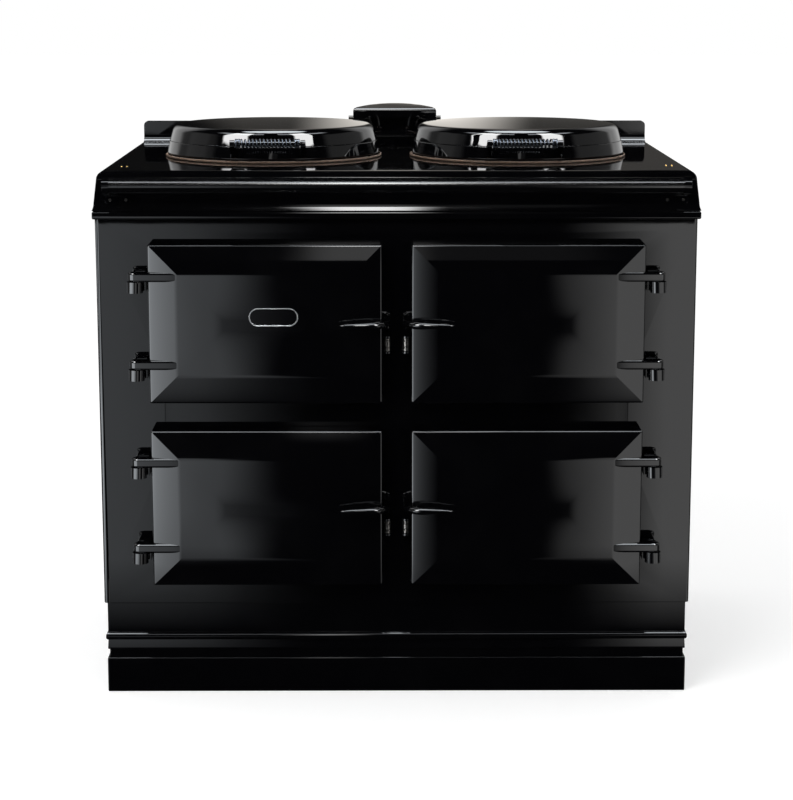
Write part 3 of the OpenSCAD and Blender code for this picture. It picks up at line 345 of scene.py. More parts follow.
def hang_flag(name, upright, size, centre, axis, opaque, clear):
    cloth = bmesh.new()
    bmesh.ops.create_grid(cloth, x_segments=1, y_segments=1, size=0.5)
    if upright:
        bmesh.ops.rotate(cloth, matrix=Matrix.Rotation(math.radians(90), 3, "X"), verts=cloth.verts)
    bmesh.ops.scale(cloth, vec=size, verts=cloth.verts)
    bmesh.ops.translate(cloth, vec=centre, verts=cloth.verts)
    flag = bpy.data.objects.new(name, bpy.data.meshes.new(name))
    cloth.to_mesh(flag.data)
    cloth.free()
    flag.data.materials.append(flag_material(name, axis, opaque, clear))
    bpy.context.scene.collection.objects.link(flag)
    hide_from_all_but_mirrors(flag)


for label, (left, right, low, high, ahead, axis, opaque, clear) in FLAGS.items():
    hang_flag(label.replace(" ", "_") + "_flag", True, (right - left, 1, high - low),
              ((left + right) / 2, front_y - ahead, (low + high) / 2), axis, opaque, clear)

# the flat one, in metres: its length, how far it reaches from the front plate, and its height
OVER_RAIL_LONG, OVER_RAIL_AHEAD, OVER_RAIL_BEHIND, OVER_RAIL_UP = 1.04, 0.072, 0.02, 0.905
hang_flag("over_rail_flag", False, (OVER_RAIL_LONG, OVER_RAIL_BEHIND + OVER_RAIL_AHEAD, 1),
          (0, front_y + (OVER_RAIL_BEHIND - OVER_RAIL_AHEAD) / 2, OVER_RAIL_UP), "Z", 2.0, 3.0)
print("flags", list(FLAGS), "and one over the rail")

# %% [markdown]
# ## Floor
# The floor is a wide white sheet that keeps the cooker's soft shadow. The camera sees a little of
# its own white added, so that it meets the backdrop without a line. Mirror rays pass it by: the
# dome's lower half already holds the pale floor that the enamel seems to mirror in the photograph.

# %% Floor
FLOOR_HALF = 30.0
FLOOR_WHITE = 0.8
FLOOR_LIFT = 0.42

floor_mesh = bmesh.new()
bmesh.ops.create_grid(floor_mesh, x_segments=1, y_segments=1, size=FLOOR_HALF)
floor = bpy.data.objects.new("floor", bpy.data.meshes.new("floor"))
floor_mesh.to_mesh(floor.data)
floor_mesh.free()
bpy.context.scene.collection.objects.link(floor)
floor.visible_glossy = False
floor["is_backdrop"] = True

floor_material, floor_tree, floor_shader = new_material(
    "white_floor", Roughness=0.9, **{"Base Color": (FLOOR_WHITE, FLOOR_WHITE, FLOOR_WHITE, 1),
                                     "Specular IOR Level": 0.0, "Emission Color": (1, 1, 1, 1)})
to_camera = add_node(floor_tree, "ShaderNodeLightPath").outputs["Is Camera Ray"]
lift = math_node(floor_tree, "MULTIPLY", to_camera, FLOOR_LIFT)
link(floor_tree, lift, floor_shader.inputs["Emission Strength"])
floor.data.materials.append(floor_material)
print("floor", 2 * FLOOR_HALF, "m wide")

# %% [markdown]
# ## Shared effects
# Three effects turn up in many finishes, so each is a node group: the slow ripple and fine peel of
# fired enamel, the specks of dust and wear that break a mirror, and the drawn grain of metal.

# %% Shared effects as node groups


def new_group(name, inputs, outputs):
    group = bpy.data.node_groups.new(name, "ShaderNodeTree")
    for label, value in inputs.items():
        socket = group.interface.new_socket(label, in_out="INPUT", socket_type="NodeSocketFloat")
        socket.default_value = value
    for label, kind in outputs.items():
        group.interface.new_socket(label, in_out="OUTPUT", socket_type=kind)
    return group, add_node(group, "NodeGroupInput"), add_node(group, "NodeGroupOutput")


def build_ripple():
    """Heights of fired enamel: a slow pull of the glaze and a fine peel, in metres."""
    group, given, out = new_group(
        "fired ripple", {"Slow": 0.00006, "Peel": 0.000004}, {"Height": "NodeSocketFloat"})
    place = add_node(group, "ShaderNodeTexCoord")
    slow = add_node(group, "ShaderNodeTexNoise", Scale=9.0, Detail=1.0, Roughness=0.4)
    peel = add_node(group, "ShaderNodeTexNoise", Scale=420.0, Detail=1.0, Roughness=0.5)
    for noise in (slow, peel):
        link(group, place.outputs["Object"], noise.inputs["Vector"])
    height = math_node(group, "ADD", math_node(group, "MULTIPLY", slow.outputs[0], given.outputs["Slow"]),
                       math_node(group, "MULTIPLY", peel.outputs[0], given.outputs["Peel"]))
    link(group, height, out.inputs["Height"])
    return group


def build_dust():
    """A mask of soft wipe marks and small specks, from nothing to one."""
    group, given, out = new_group("dust and wipe marks", {"Amount": 0.5}, {"Mask": "NodeSocketFloat"})
    place = add_node(group, "ShaderNodeTexCoord")
    cloud = add_node(group, "ShaderNodeTexNoise", Scale=14.0, Detail=5.0, Roughness=0.6)
    speck = add_node(group, "ShaderNodeTexNoise", Scale=900.0, Detail=2.0)
    for noise in (cloud, speck):
        link(group, place.outputs["Object"], noise.inputs["Vector"])
    soft = ramp(group, cloud.outputs[0], 0.42, 0.72)
    fine = ramp(group, speck.outputs[0], 0.66, 0.74)
    both = math_node(group, "ADD", math_node(group, "MULTIPLY", soft, 0.6),
                     math_node(group, "MULTIPLY", fine, 0.5))
    link(group, math_node(group, "MULTIPLY", both, given.outputs["Amount"]), out.inputs["Mask"])
    return group


def build_grain():
    """Drawn or rolled grain of metal along X: streaks from nothing to one."""
    group, given, out = new_group(
        "drawn grain", {"Along": 12.0, "Across": 900.0}, {"Streak": "NodeSocketFloat"})
    place = add_node(group, "ShaderNodeTexCoord")
    stretch = add_node(group, "ShaderNodeCombineXYZ")
    link(group, given.outputs["Along"], stretch.inputs["X"])
    link(group, given.outputs["Across"], stretch.inputs["Y"])
    link(group, given.outputs["Across"], stretch.inputs["Z"])
    scaled = add_node(group, "ShaderNodeVectorMath", operation="MULTIPLY")
    link(group, place.outputs["Object"], scaled.inputs[0])
    link(group, stretch.outputs[0], scaled.inputs[1])
    noise = add_node(group, "ShaderNodeTexNoise", Scale=1.0, Detail=3.0)
    link(group, scaled.outputs[0], noise.inputs["Vector"])
    link(group, noise.outputs[0], out.inputs["Streak"])
    return group


RIPPLE = build_ripple()
DUST = build_dust()
GRAIN = build_grain()


def use_group(tree, group, **values):
    node = add_node(tree, "ShaderNodeGroup", node_tree=group)
    for name, value in values.items():
        node.inputs[name].default_value = value
    return node


def bump(tree, height, shader, distance=1.0):
    node = add_node(tree, "ShaderNodeBump", Strength=1.0, Distance=distance)
    link(tree, height, node.inputs["Height"])
    link(tree, node.outputs[0], shader.inputs["Normal"])


def two_colours(tree, mask, low, high, shader):
    node = add_node(tree, "ShaderNodeMix", data_type="RGBA")
    link(tree, mask, node.inputs["Factor"])
    node.inputs[6].default_value = (*low, 1)
    node.inputs[7].default_value = (*high, 1)
    link(tree, node.outputs[2], shader.inputs["Base Color"])


print("node groups", [g.name for g in (RIPPLE, DUST, GRAIN)])

# %% [markdown]
# ## Black vitreous enamel
# The enamel is glass fused to iron: jet black in its body, with a clear wet surface. Its black is
# nearly nothing, so the mirror on top does all the work. The roughness stays low and uneven, and
# the ripple bends what it mirrors, as a real glaze does. Sheet panels are smoother than castings.

# %% Black enamel
CLEAN_BLACK = (0.0012, 0.0012, 0.0016)
DUSTY_BLACK = (0.0024, 0.0024, 0.0028)


def enamel(name, slow, peel, rough_low, rough_high, ior=1.5):
    """Slow and peel are the heights of the ripple in metres."""
    material, tree, shader = new_material(name, IOR=ior)
    dust = use_group(tree, DUST, Amount=0.8)
    ripple = use_group(tree, RIPPLE, Slow=slow, Peel=peel)
    rough = ramp(tree, dust.outputs["Mask"], 0.0, 1.0, rough_low, rough_high)
    link(tree, rough, shader.inputs["Roughness"])
    two_colours(tree, dust.outputs["Mask"], CLEAN_BLACK, DUSTY_BLACK, shader)
    bump(tree, ripple.outputs["Height"], shader)
    return material


CAST_ENAMEL = enamel("cast_black_enamel", 0.00012, 0.0000012, 0.035, 0.07)
SHEET_ENAMEL = enamel("sheet_black_enamel", 0.00005, 0.0000008, 0.04, 0.07)
RAIL_ENAMEL = enamel("rail_black_enamel", 0.00002, 0.0000008, 0.13, 0.17, ior=1.8)
print("enamels", CAST_ENAMEL.name, SHEET_ENAMEL.name, RAIL_ENAMEL.name)

# %% [markdown]
# ## Metals
# Bare metal shows where hands and heat pass: bright steel on hinge pins, feet and shelves, duller
# steel on the rollers, a blued coil on the lids, zinc sheet at the back, turned iron hotplates and
# polished liners. One function makes them all: a dark and a light tone mixed by the grain, and the
# same grain in the roughness, with some dust, and slightly in the surface.

# %% Metals
GRAIN_ALONG = 12.0
GRAIN_DEPTH = 0.000004


def metal(name, dark, light, rough_low, rough_high, across=900.0, metallic=1.0):
    material, tree, shader = new_material(name, Metallic=metallic)
    grain = use_group(tree, GRAIN, Along=GRAIN_ALONG, Across=across)
    dust = use_group(tree, DUST, Amount=1.0)
    streak = ramp(tree, grain.outputs["Streak"], 0.3, 0.7, smooth=False)
    two_colours(tree, streak, dark, light, shader)
    worn = math_node(tree, "MULTIPLY", math_node(tree, "ADD", streak, dust.outputs["Mask"]), 0.6)
    link(tree, ramp(tree, worn, 0.0, 1.0, rough_low, rough_high), shader.inputs["Roughness"])
    bump(tree, grain.outputs["Streak"], shader, distance=GRAIN_DEPTH)
    return material


BRIGHT_STEEL = metal("bright_steel", (0.42, 0.43, 0.45), (0.62, 0.63, 0.65), 0.16, 0.32)
BLUED_STEEL = metal("blued_coil_steel", (0.03, 0.035, 0.043), (0.075, 0.085, 0.1), 0.2, 0.34)
SCREW_STEEL = metal("blackened_screw_steel", (0.03, 0.03, 0.03), (0.07, 0.066, 0.06), 0.28, 0.45)
ROLLER_STEEL = metal("roller_steel", (0.10, 0.095, 0.09), (0.2, 0.19, 0.175), 0.25, 0.42)
CORNER_BRASS = metal("corner_pin_brass", (0.42, 0.27, 0.09), (0.62, 0.42, 0.16), 0.2, 0.4)
ZINC_SHEET = metal("zinc_sheet", (0.36, 0.375, 0.39), (0.52, 0.535, 0.55), 0.36, 0.58, across=60.0)
POLISHED_LINER = metal("polished_liner", (0.62, 0.63, 0.64), (0.8, 0.81, 0.82), 0.14, 0.3)
TURNED_IRON = metal("turned_iron", (0.05, 0.05, 0.053), (0.1, 0.1, 0.105), 0.35, 0.55, metallic=0.6)
PLATE_METAL = metal("satin_plate", (0.5, 0.5, 0.5), (0.68, 0.68, 0.68), 0.24, 0.4)
HEATER_SHEATH = metal("heater_sheath", (0.1, 0.09, 0.08), (0.2, 0.18, 0.16), 0.4, 0.6)
METALS = (BRIGHT_STEEL, BLUED_STEEL, SCREW_STEEL, ROLLER_STEEL, CORNER_BRASS, ZINC_SHEET,
          POLISHED_LINER, TURNED_IRON, PLATE_METAL, HEATER_SHEATH)
print("metals", [finish.name for finish in METALS])

# %% [markdown]
# ## Iron, lagging, rope and knobs
# The oven castings and the knobs are dull and uneven, lagging is a pale felted fibre, and the rope
# is a heat-browned braid. Each reads an uneven noise at its own scale for colour, roughness and bump.

# %% Rough finishes


def mottled(name, dark, light, scale, rough_low, rough_high, depth):
    """Scale is the noise's, and depth is how deep its pits go, in metres."""
    material, tree, shader = new_material(name)
    place = add_node(tree, "ShaderNodeTexCoord")
    noise = add_node(tree, "ShaderNodeTexNoise", Scale=scale, Detail=6.0, Roughness=0.62)
    link(tree, place.outputs["Object"], noise.inputs["Vector"])
    mask = ramp(tree, noise.outputs[0], 0.32, 0.68)
    two_colours(tree, mask, dark, light, shader)
    link(tree, ramp(tree, noise.outputs[0], 0.3, 0.7, rough_low, rough_high), shader.inputs["Roughness"])
    bump(tree, noise.outputs[0], shader, distance=depth)
    return material


OVEN_IRON = mottled("oven_iron", (0.02, 0.02, 0.023), (0.05, 0.05, 0.055), 180.0, 0.28, 0.5, 0.0003)
ROPE_FIBRE = mottled("browned_rope", (0.03, 0.018, 0.012), (0.15, 0.095, 0.06), 700.0, 0.6, 0.85, 0.0006)
LAGGING = mottled("lagging", (0.5, 0.46, 0.38), (0.78, 0.74, 0.66), 120.0, 0.85, 0.97, 0.003)
KNOB_BLACK = mottled("knob_black", (0.008, 0.008, 0.009), (0.016, 0.016, 0.018), 400.0, 0.3, 0.45, 0.0001)
print("rough finishes", [finish.name for finish in (OVEN_IRON, ROPE_FIBRE, LAGGING, KNOB_BLACK)])

# %% [markdown]
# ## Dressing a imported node
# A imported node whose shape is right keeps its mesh. Castings and folded sheet never have razor
# edges, so most nodes get a small bevel: the loose triangles are welded first, the sharp edges
# rounded, and the normals weighted by face, which keeps flats flat and curves smooth. The heaters,
# shelves, lagging and back sheet keep their edges.

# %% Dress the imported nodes
WELD_REACH = 0.00002
EDGE_STEPS = 2
SHARP_FROM = math.radians(32)
FLATNESS = 80


def even_shading(piece, keep_sharp):
    even = piece.modifiers.new("even shading", "WEIGHTED_NORMAL")
    even.keep_sharp = keep_sharp
    even.weight = FLATNESS


def add_edges(piece, width):
    weld = piece.modifiers.new("weld", "WELD")
    weld.merge_threshold = WELD_REACH
    edge = piece.modifiers.new("edges", "BEVEL")
    edge.width = width * MM
    edge.segments = EDGE_STEPS
    edge.limit_method = "ANGLE"
    edge.angle_limit = SHARP_FROM
    edge.harden_normals = False
    even_shading(piece, keep_sharp=False)


def dress(name, material, edge_width):
    piece = nodes[name]
    piece.data.materials.clear()
    piece.data.materials.append(material)
    piece.data.shade_smooth()
    if edge_width:
        add_edges(piece, edge_width)


# node: its finish, and the width of its rounded edges in millimetres
DRESSING = {
    "base_plinth": (SHEET_ENAMEL, 2.0), "upper_plinth": (SHEET_ENAMEL, 0.6),
    "front_plate": (CAST_ENAMEL, 1.0), "left_side_panel": (SHEET_ENAMEL, 0.8),
    "right_side_panel": (SHEET_ENAMEL, 0.8), "top_plate": (CAST_ENAMEL, 1.0),
    "vent_box": (CAST_ENAMEL, 1.2), "vent_cap": (CAST_ENAMEL, 0.8),
    "handrail": (RAIL_ENAMEL, 1.0), "rail_brackets": (CAST_ENAMEL, 1.2),
    "door_hinge_brackets": (CAST_ENAMEL, 1.4), "catch_brackets": (CAST_ENAMEL, 0.8),
    "lid_hinge_brackets": (CAST_ENAMEL, 1.2), "base_plate": (SHEET_ENAMEL, 0.6),
    "back_panel": (ZINC_SHEET, 0), "control_box": (ZINC_SHEET, 0.6), "control_panel": (ZINC_SHEET, 0.4),
    "roasting_oven": (OVEN_IRON, 0.8), "baking_oven": (OVEN_IRON, 0.8),
    "simmering_oven": (OVEN_IRON, 0.8),
    "left_hotplate": (TURNED_IRON, 0.8), "right_hotplate": (TURNED_IRON, 0.8),
    "hotplate_heaters": (HEATER_SHEATH, 0), "oven_heaters": (HEATER_SHEATH, 0),
    "levelling_feet": (BRIGHT_STEEL, 0.8), "fixing_screws": (SCREW_STEEL, 0.4),
    "hinge_pins": (BRIGHT_STEEL, 0.4), "oven_shelves": (BRIGHT_STEEL, 0),
    "badge_plate": (PLATE_METAL, 0.4), "oven_rope_seals": (ROPE_FIBRE, 0.8),
    "insulation": (LAGGING, 0), "hotplate_rope_seals": (ROPE_FIBRE, 0),
    "left_plate_knob": (KNOB_BLACK, 0.8), "right_plate_knob": (KNOB_BLACK, 0.8),
}
for door in DOORS:
    DRESSING[f"{door}_door"] = (CAST_ENAMEL, 0.8)
    DRESSING[f"{door}_door_liner"] = (POLISHED_LINER, 0.8)
    DRESSING[f"{door}_handle"] = (CAST_ENAMEL, 1.0)
    DRESSING[f"{door}_roller"] = (ROLLER_STEEL, 0.6)
for side in SIDES:
    DRESSING[f"{side}_lid_dome"] = (CAST_ENAMEL, 0.6)
    DRESSING[f"{side}_lid_skirt"] = (CAST_ENAMEL, 0.8)
    DRESSING[f"{side}_lid_liner"] = (POLISHED_LINER, 0.4)
    DRESSING[f"{side}_lid_handle"] = (CAST_ENAMEL, 0.8)
    DRESSING[f"{side}_lid_grip"] = (BLUED_STEEL, 0)
for name, (finish, edge_width) in DRESSING.items():
    dress(name, finish, edge_width)
print("dressed", len(DRESSING), "of", len(nodes))

# %% [markdown]
# ## New pieces
# A rebuilt piece starts in its own bmesh, in millimetres, and ends in a plain object at the origin,
# with its place in its mesh. It rides on its body, takes its finish, and hides the node that it
# stands for. On a piece with big flats, normals weighted by face area keep them flat right up to
# their rounded edges.

# %% Tools for new pieces
FRONT = front_y / MM


def add_block(bm, low, high):
    """A box between two corners."""
    made = bmesh.ops.create_cube(bm, size=1.0)["verts"]
    low, high = Vector(low), Vector(high)
    bmesh.ops.scale(bm, vec=high - low, verts=made)
    bmesh.ops.translate(bm, vec=(low + high) / 2, verts=made)


def round_edges(bm, edges, radius, segments):
    bmesh.ops.bevel(bm, geom=edges, offset=radius, segments=segments, profile=0.5, affect="EDGES",
                    material=-1, clamp_overlap=True)


def add_ring(bm, centre, wide, high, sides):
    """A loop of points round the X direction; wide and high are its half sizes."""
    made = bmesh.ops.create_circle(bm, segments=sides, radius=1.0)["verts"]
    bmesh.ops.scale(bm, vec=(wide, high, 1), verts=made)
    bmesh.ops.rotate(bm, matrix=Matrix.Rotation(math.radians(90), 3, "X"), verts=made)
    bmesh.ops.rotate(bm, matrix=Matrix.Rotation(math.radians(90), 3, "Z"), verts=made)
    bmesh.ops.translate(bm, vec=centre, verts=made)
    return made


def loop_edges(loop):
    """The edges that join the points of a loop."""
    own = set(loop)
    joined = dict.fromkeys(e for v in loop for e in v.link_edges)
    return [e for e in joined if e.verts[0] in own and e.verts[1] in own]


def loft(bm, rings):
    """Bridges one ring to the next and closes both ends."""
    for one, other in zip(rings, rings[1:]):
        bmesh.ops.bridge_loops(bm, edges=loop_edges(one) + loop_edges(other))
    for end in (rings[0], rings[-1]):
        bmesh.ops.holes_fill(bm, edges=loop_edges(end), sides=0)


def place_piece(name, bm, material, body, slot, *stands_for, sharp=35.0, keep_flats=True, inlay=None):
    bmesh.ops.remove_doubles(bm, verts=bm.verts, dist=0.005)
    bmesh.ops.recalc_face_normals(bm, faces=bm.faces)
    bmesh.ops.scale(bm, vec=(MM, MM, MM), verts=bm.verts)
    piece = bpy.data.objects.new(name, bpy.data.meshes.new(name))
    bm.to_mesh(piece.data)
    bm.free()
    bpy.context.scene.collection.objects.link(piece)
    piece.data.materials.append(material)
    if inlay:
        piece.data.materials.append(inlay)
    piece.data.shade_smooth()
    piece.data.set_sharp_from_angle(angle=math.radians(sharp))
    if keep_flats:
        even_shading(piece, keep_sharp=True)
    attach(piece, body)
    if stands_for:
        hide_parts(*stands_for)
    print(name, "has", len(piece.data.polygons), "faces")


# %% [markdown]
# ## The doors
# Each door is one thick casting. Its middle is flat and it falls away in four gentle slopes to a
# rounded rim, so it reads like a cushion cut from iron. A box is enough to start: its front face is
# inset and raised, and that gives the slopes with true mitres. The fold between slope and middle
# gets a very wide bevel, which melts it, and the rim a narrow one. The mitres stay crisp, as the
# photograph shows at the top corners. The two hinge arms are short round-ended bars across the rim.

# %% Door castings
# millimetres; back, rim and face are counted forwards from the front plate
DOOR_X, DOOR_WIDTH, DOOR_HEIGHT = 214.5, 381.0, 262.0
DOOR_BACK, RIM, FACE = 3.3, 40.3, 52.3
SLOPE_WIDTH, FOLD_ROUND, RIM_ROUND = 62.0, 60.0, 6.5
FOLD_STEPS, RIM_STEPS, ARM_STEPS = 20, 12, 4
ARM_UPS = (77.0, -68.0)
ARM_X, ARM_AHEAD, ARM_RADIUS = 211.5, 36.3, 11.0
ARM_RUN, ARM_LOW, ARM_HIGH, ARM_ROUND = 66.0, -6.5, 9.0, 3.5


def front_faces(bm):
    """The faces that look straight ahead."""
    return [f for f in bm.faces if f.normal.y < -0.99]


def door_casting():
    bm = bmesh.new()
    half_w, half_h = DOOR_WIDTH / 2, DOOR_HEIGHT / 2
    add_block(bm, (-half_w, -RIM, -half_h), (half_w, -DOOR_BACK, half_h))
    bm.normal_update()
    front = front_faces(bm)
    bmesh.ops.inset_region(bm, faces=front, thickness=SLOPE_WIDTH, use_even_offset=True)
    for vert in front[0].verts:
        vert.co.y = -FACE
    bm.normal_update()
    round_edges(bm, list(front[0].edges), FOLD_ROUND, FOLD_STEPS)
    rim = [e for e in bm.edges if all(abs(v.co.y + RIM) < 0.01 for v in e.verts)]
    corners = [e for e in bm.edges if abs(e.verts[0].co.y - e.verts[1].co.y) > (RIM - DOOR_BACK) / 2]
    round_edges(bm, rim + corners, RIM_ROUND, RIM_STEPS)
    return bm


def level_edges(points):
    """The edges at these points that lie level: the two rims of an upright post or arm."""
    joined = dict.fromkeys(e for v in points for e in v.link_edges)
    return [e for e in joined if abs(e.verts[0].co.z - e.verts[1].co.z) < 0.01]


def add_arm(bm, up):
    made = bmesh.ops.create_cone(bm, cap_ends=True, segments=40, radius1=ARM_RADIUS, radius2=ARM_RADIUS,
                                 depth=ARM_HIGH - ARM_LOW)["verts"]
    bmesh.ops.translate(bm, vec=(-ARM_RUN, 0, 0), verts=[v for v in made if v.co.x < -0.01])
    bmesh.ops.translate(bm, vec=(ARM_X, -ARM_AHEAD, up + (ARM_LOW + ARM_HIGH) / 2), verts=made)
    round_edges(bm, level_edges(made), ARM_ROUND, ARM_STEPS)


def put_in_doorway(bm, side, height):
    """Moves a piece drawn for a right-hand door to its doorway, turned over for a left-hand one."""
    bmesh.ops.scale(bm, vec=(side, 1, 1), verts=bm.verts)
    bmesh.ops.translate(bm, vec=(side * DOOR_X, FRONT, height), verts=bm.verts)


DOOR_UPS = {"upper": 638.8, "lower": 330.3}
for door, side in DOORS.items():
    casting = door_casting()
    for up in ARM_UPS:
        add_arm(casting, up)
    put_in_doorway(casting, side, DOOR_UPS[door[:5]])
    place_piece(f"{door}_casting", casting, CAST_ENAMEL, f"door_{door}", "enamel", f"{door}_door",
                sharp=9.0, keep_flats=False)

# %% [markdown]
# ## The latch handles
# A latch handle is a long thin finger with a lit upper edge: pointed over the door, thickest where
# it crosses the door's free edge, and hooked down to the catch. Rings of points along its length,
# each with its own half sizes, are bridged into one drop-like casting. A root joins it to the door.

# %% Latch handles
# across, ahead, up, half depth, half height: from the pointed end to the nose
LATCH_RINGS = [
    (-121.5, 70.3, 0.6, 0.5, 0.3), (-123.0, 70.3, 0.6, 2.0, 0.9), (-127.0, 70.2, 0.6, 3.2, 1.6),
    (-136.0, 69.9, 0.5, 4.1, 2.4), (-148.0, 69.5, 0.3, 4.6, 3.1), (-160.0, 69.0, 0.1, 5.0, 3.7),
    (-170.0, 68.2, 0.0, 5.8, 4.2), (-177.0, 66.6, 0.0, 7.2, 4.5), (-184.0, 62.6, 0.0, 9.4, 4.6),
    (-190.0, 57.6, 0.0, 10.0, 4.6), (-195.0, 51.6, 0.0, 9.0, 4.5), (-199.0, 46.4, -0.2, 6.6, 4.2),
    (-202.4, 43.0, -0.6, 3.6, 3.2), (-204.0, 41.6, -0.8, 0.8, 0.8),
]
# start, end, radius at each, height as a share of depth: the root on the door, the hook and its peg
LATCH_POSTS = [
    ((-175.5, -38.0, 0), (-176.5, -64.0, 0), 9.0, 7.0, 0.5),
    ((-197.5, -46.0, 0), (-199.4, -25.0, -0.5), 4.6, 4.0, 1.0),
    ((-199.5, -27.6, 1.0), (-199.5, -27.6, -10.4), 3.4, 3.0, 1.0),
]
HANDLE_UP = 2.0
# the rings' half heights are multiplied by this
LATCH_PLUMP = 1.35
# the rounding of a post's rims, as a share of its radius
POST_ROUND = 0.3


def add_post(bm, start, end, radius_start, radius_end, flat):
    """A round post between two points, squashed in height by flat."""
    start, end = Vector(start), Vector(end)
    made = bmesh.ops.create_cone(bm, cap_ends=True, segments=24, radius1=radius_start,
                                 radius2=radius_end, depth=(end - start).length)["verts"]
    softening = min(radius_start, radius_end) * POST_ROUND
    rounded = bmesh.ops.bevel(bm, geom=level_edges(made), offset=softening, segments=3, profile=0.5,
                              affect="EDGES", material=-1)["faces"]
    made = list(dict.fromkeys([v for f in rounded for v in f.verts] + [v for v in made if v.is_valid]))
    bmesh.ops.rotate(bm, matrix=(end - start).to_track_quat("Z", "Y").to_matrix(), verts=made)
    bmesh.ops.translate(bm, vec=(start + end) / 2, verts=made)
    middle = (start.z + end.z) / 2
    if flat != 1.0:
        bmesh.ops.scale(bm, vec=(1, 1, flat), space=Matrix.Translation((0, 0, -middle)), verts=made)


def latch_casting():
    bm = bmesh.new()
    loft(bm, [add_ring(bm, (x, -ahead, up), deep, high * LATCH_PLUMP, sides=20)
              for x, ahead, up, deep, high in LATCH_RINGS])
    for start, end, radius_start, radius_end, flat in LATCH_POSTS:
        add_post(bm, start, end, radius_start, radius_end, flat)
    return bm


for door, side in DOORS.items():
    latch = latch_casting()
    put_in_doorway(latch, side, DOOR_UPS[door[:5]] + HANDLE_UP)
    place_piece(f"{door}_latch", latch, CAST_ENAMEL, f"door_{door}", "enamel", f"{door}_handle",
                sharp=60.0, keep_flats=False)

# %% [markdown]
# ## The spring grips
# A lid's handle is an open coil of blued wire, which stays cool because air moves through it. One
# circle of wire, spun round the rod with a small step sideways each time, makes the whole coil. At
# each end a collar holds it: a short turned profile, spun round the same axis.

# %% Coil grips and collars
GRIP_Y, GRIP_Z, LID_X = -191.35, 923.1, 215.0
COIL_LENGTH, COIL_ACROSS, WIRE, HALF_COIL_TURNS, COIL_STEPS = 89.6, 16.5, 3.2, 7, 26
COLLAR_GAP, COLLAR_STEPS = 0.5, 40
# collar profile: along the axis from the coil outwards, radius
COLLAR_PROFILE = [(0.0, 6.4), (0.0, 7.6), (0.7, 8.2), (3.0, 8.2), (3.5, 7.5), (5.1, 7.5), (5.6, 8.2),
                  (7.9, 8.2), (8.6, 7.6), (8.6, 4.0)]


def wind(bm, rings, turns, steps, advance, doublings):
    """Winds rings of points round X, then sets a copy of it all end to end, a few times over."""
    edges = list(dict.fromkeys(e for v in rings for e in v.link_edges))
    bmesh.ops.spin(bm, geom=rings + edges, cent=(0, 0, 0), axis=(1, 0, 0), dvec=(advance / steps, 0, 0),
                   angle=2 * math.pi * turns, steps=turns * steps, use_merge=False, use_duplicate=False)
    for doubling in range(doublings):
        copied = bmesh.ops.duplicate(bm, geom=bm.verts[:] + bm.edges[:] + bm.faces[:])["geom"]
        bmesh.ops.translate(bm, vec=(advance * turns * 2 ** doubling, 0, 0),
                            verts=[g for g in copied if isinstance(g, bmesh.types.BMVert)])
    bmesh.ops.remove_doubles(bm, verts=bm.verts, dist=0.01)


def coil():
    bm = bmesh.new()
    ring = bmesh.ops.create_circle(bm, segments=10, radius=WIRE / 2)["verts"]
    bmesh.ops.rotate(bm, matrix=Matrix.Rotation(math.radians(90), 3, "X"), verts=ring)
    run = COIL_LENGTH - WIRE
    bmesh.ops.translate(bm, vec=(-run / 2, 0, (COIL_ACROSS - WIRE) / 2), verts=ring)
    wind(bm, ring, HALF_COIL_TURNS, COIL_STEPS, run / (2 * HALF_COIL_TURNS), 1)
    bmesh.ops.holes_fill(bm, edges=[e for e in bm.edges if e.is_boundary], sides=0)
    return bm


def spun(bm, profile, axis, steps):
    """Turns a profile of points, joined in order, once round an axis through the origin."""
    points = [bm.verts.new(p) for p in profile]
    lines = [bm.edges.new(pair) for pair in zip(points, points[1:])]
    bmesh.ops.spin(bm, geom=points + lines, cent=(0, 0, 0), axis=axis, dvec=(0, 0, 0), angle=2 * math.pi,
                   steps=steps, use_merge=True, use_duplicate=False)


for label, side in SIDES.items():
    wire = coil()
    collars = bmesh.new()
    for end in (-1, 1):
        profile = [(end * (COIL_LENGTH / 2 + COLLAR_GAP + x), 0, r) for x, r in COLLAR_PROFILE]
        spun(collars, profile, (1, 0, 0), COLLAR_STEPS)
    for bm in (wire, collars):
        bmesh.ops.translate(bm, vec=(side * LID_X, GRIP_Y, GRIP_Z), verts=bm.verts)
    place_piece(f"{label}_spring_coil", wire, BLUED_STEEL, f"lid_{label}", "dark_steel",
                f"{label}_lid_grip", sharp=60.0, keep_flats=False)
    place_piece(f"{label}_coil_collars", collars, BLUED_STEEL, f"lid_{label}", "dark_steel", sharp=50.0)

# %% [markdown]
# ## The catch rollers
# Each latch rides on a small steel roller. The photograph shows it banded, so two grooves run round
# it. It is one turned profile, bore and all, spun round its pin.

# %% Catch rollers
ROLLER_X, ROLLER_AHEAD, ROLLER_DOWN, ROLLER_STEPS = 15.5, 17.0, 37.0, 36
# radius and height from the middle, bore to rim to bore
ROLLER_PROFILE = [
    (2.7, -10.9), (4.5, -10.9), (5.3, -10.1), (5.3, -5.6), (4.1, -4.8), (4.1, -3.2), (5.4, -2.4),
    (5.4, 4.8), (4.3, 5.6), (4.3, 7.4), (5.2, 8.2), (5.2, 10.2), (4.5, 10.9), (2.7, 10.9), (2.7, -10.9),
]
for door, side in DOORS.items():
    roller = bmesh.new()
    spun(roller, [(r, 0, up) for r, up in ROLLER_PROFILE], (0, 0, 1), ROLLER_STEPS)
    middle = (side * ROLLER_X, FRONT - ROLLER_AHEAD, DOOR_UPS[door[:5]] - ROLLER_DOWN)
    bmesh.ops.translate(roller, vec=middle, verts=roller.verts)
    place_piece(f"{door}_banded_roller", roller, ROLLER_STEEL, f"roller_{door}", "bright_steel",
                f"{door}_roller", sharp=30.0)

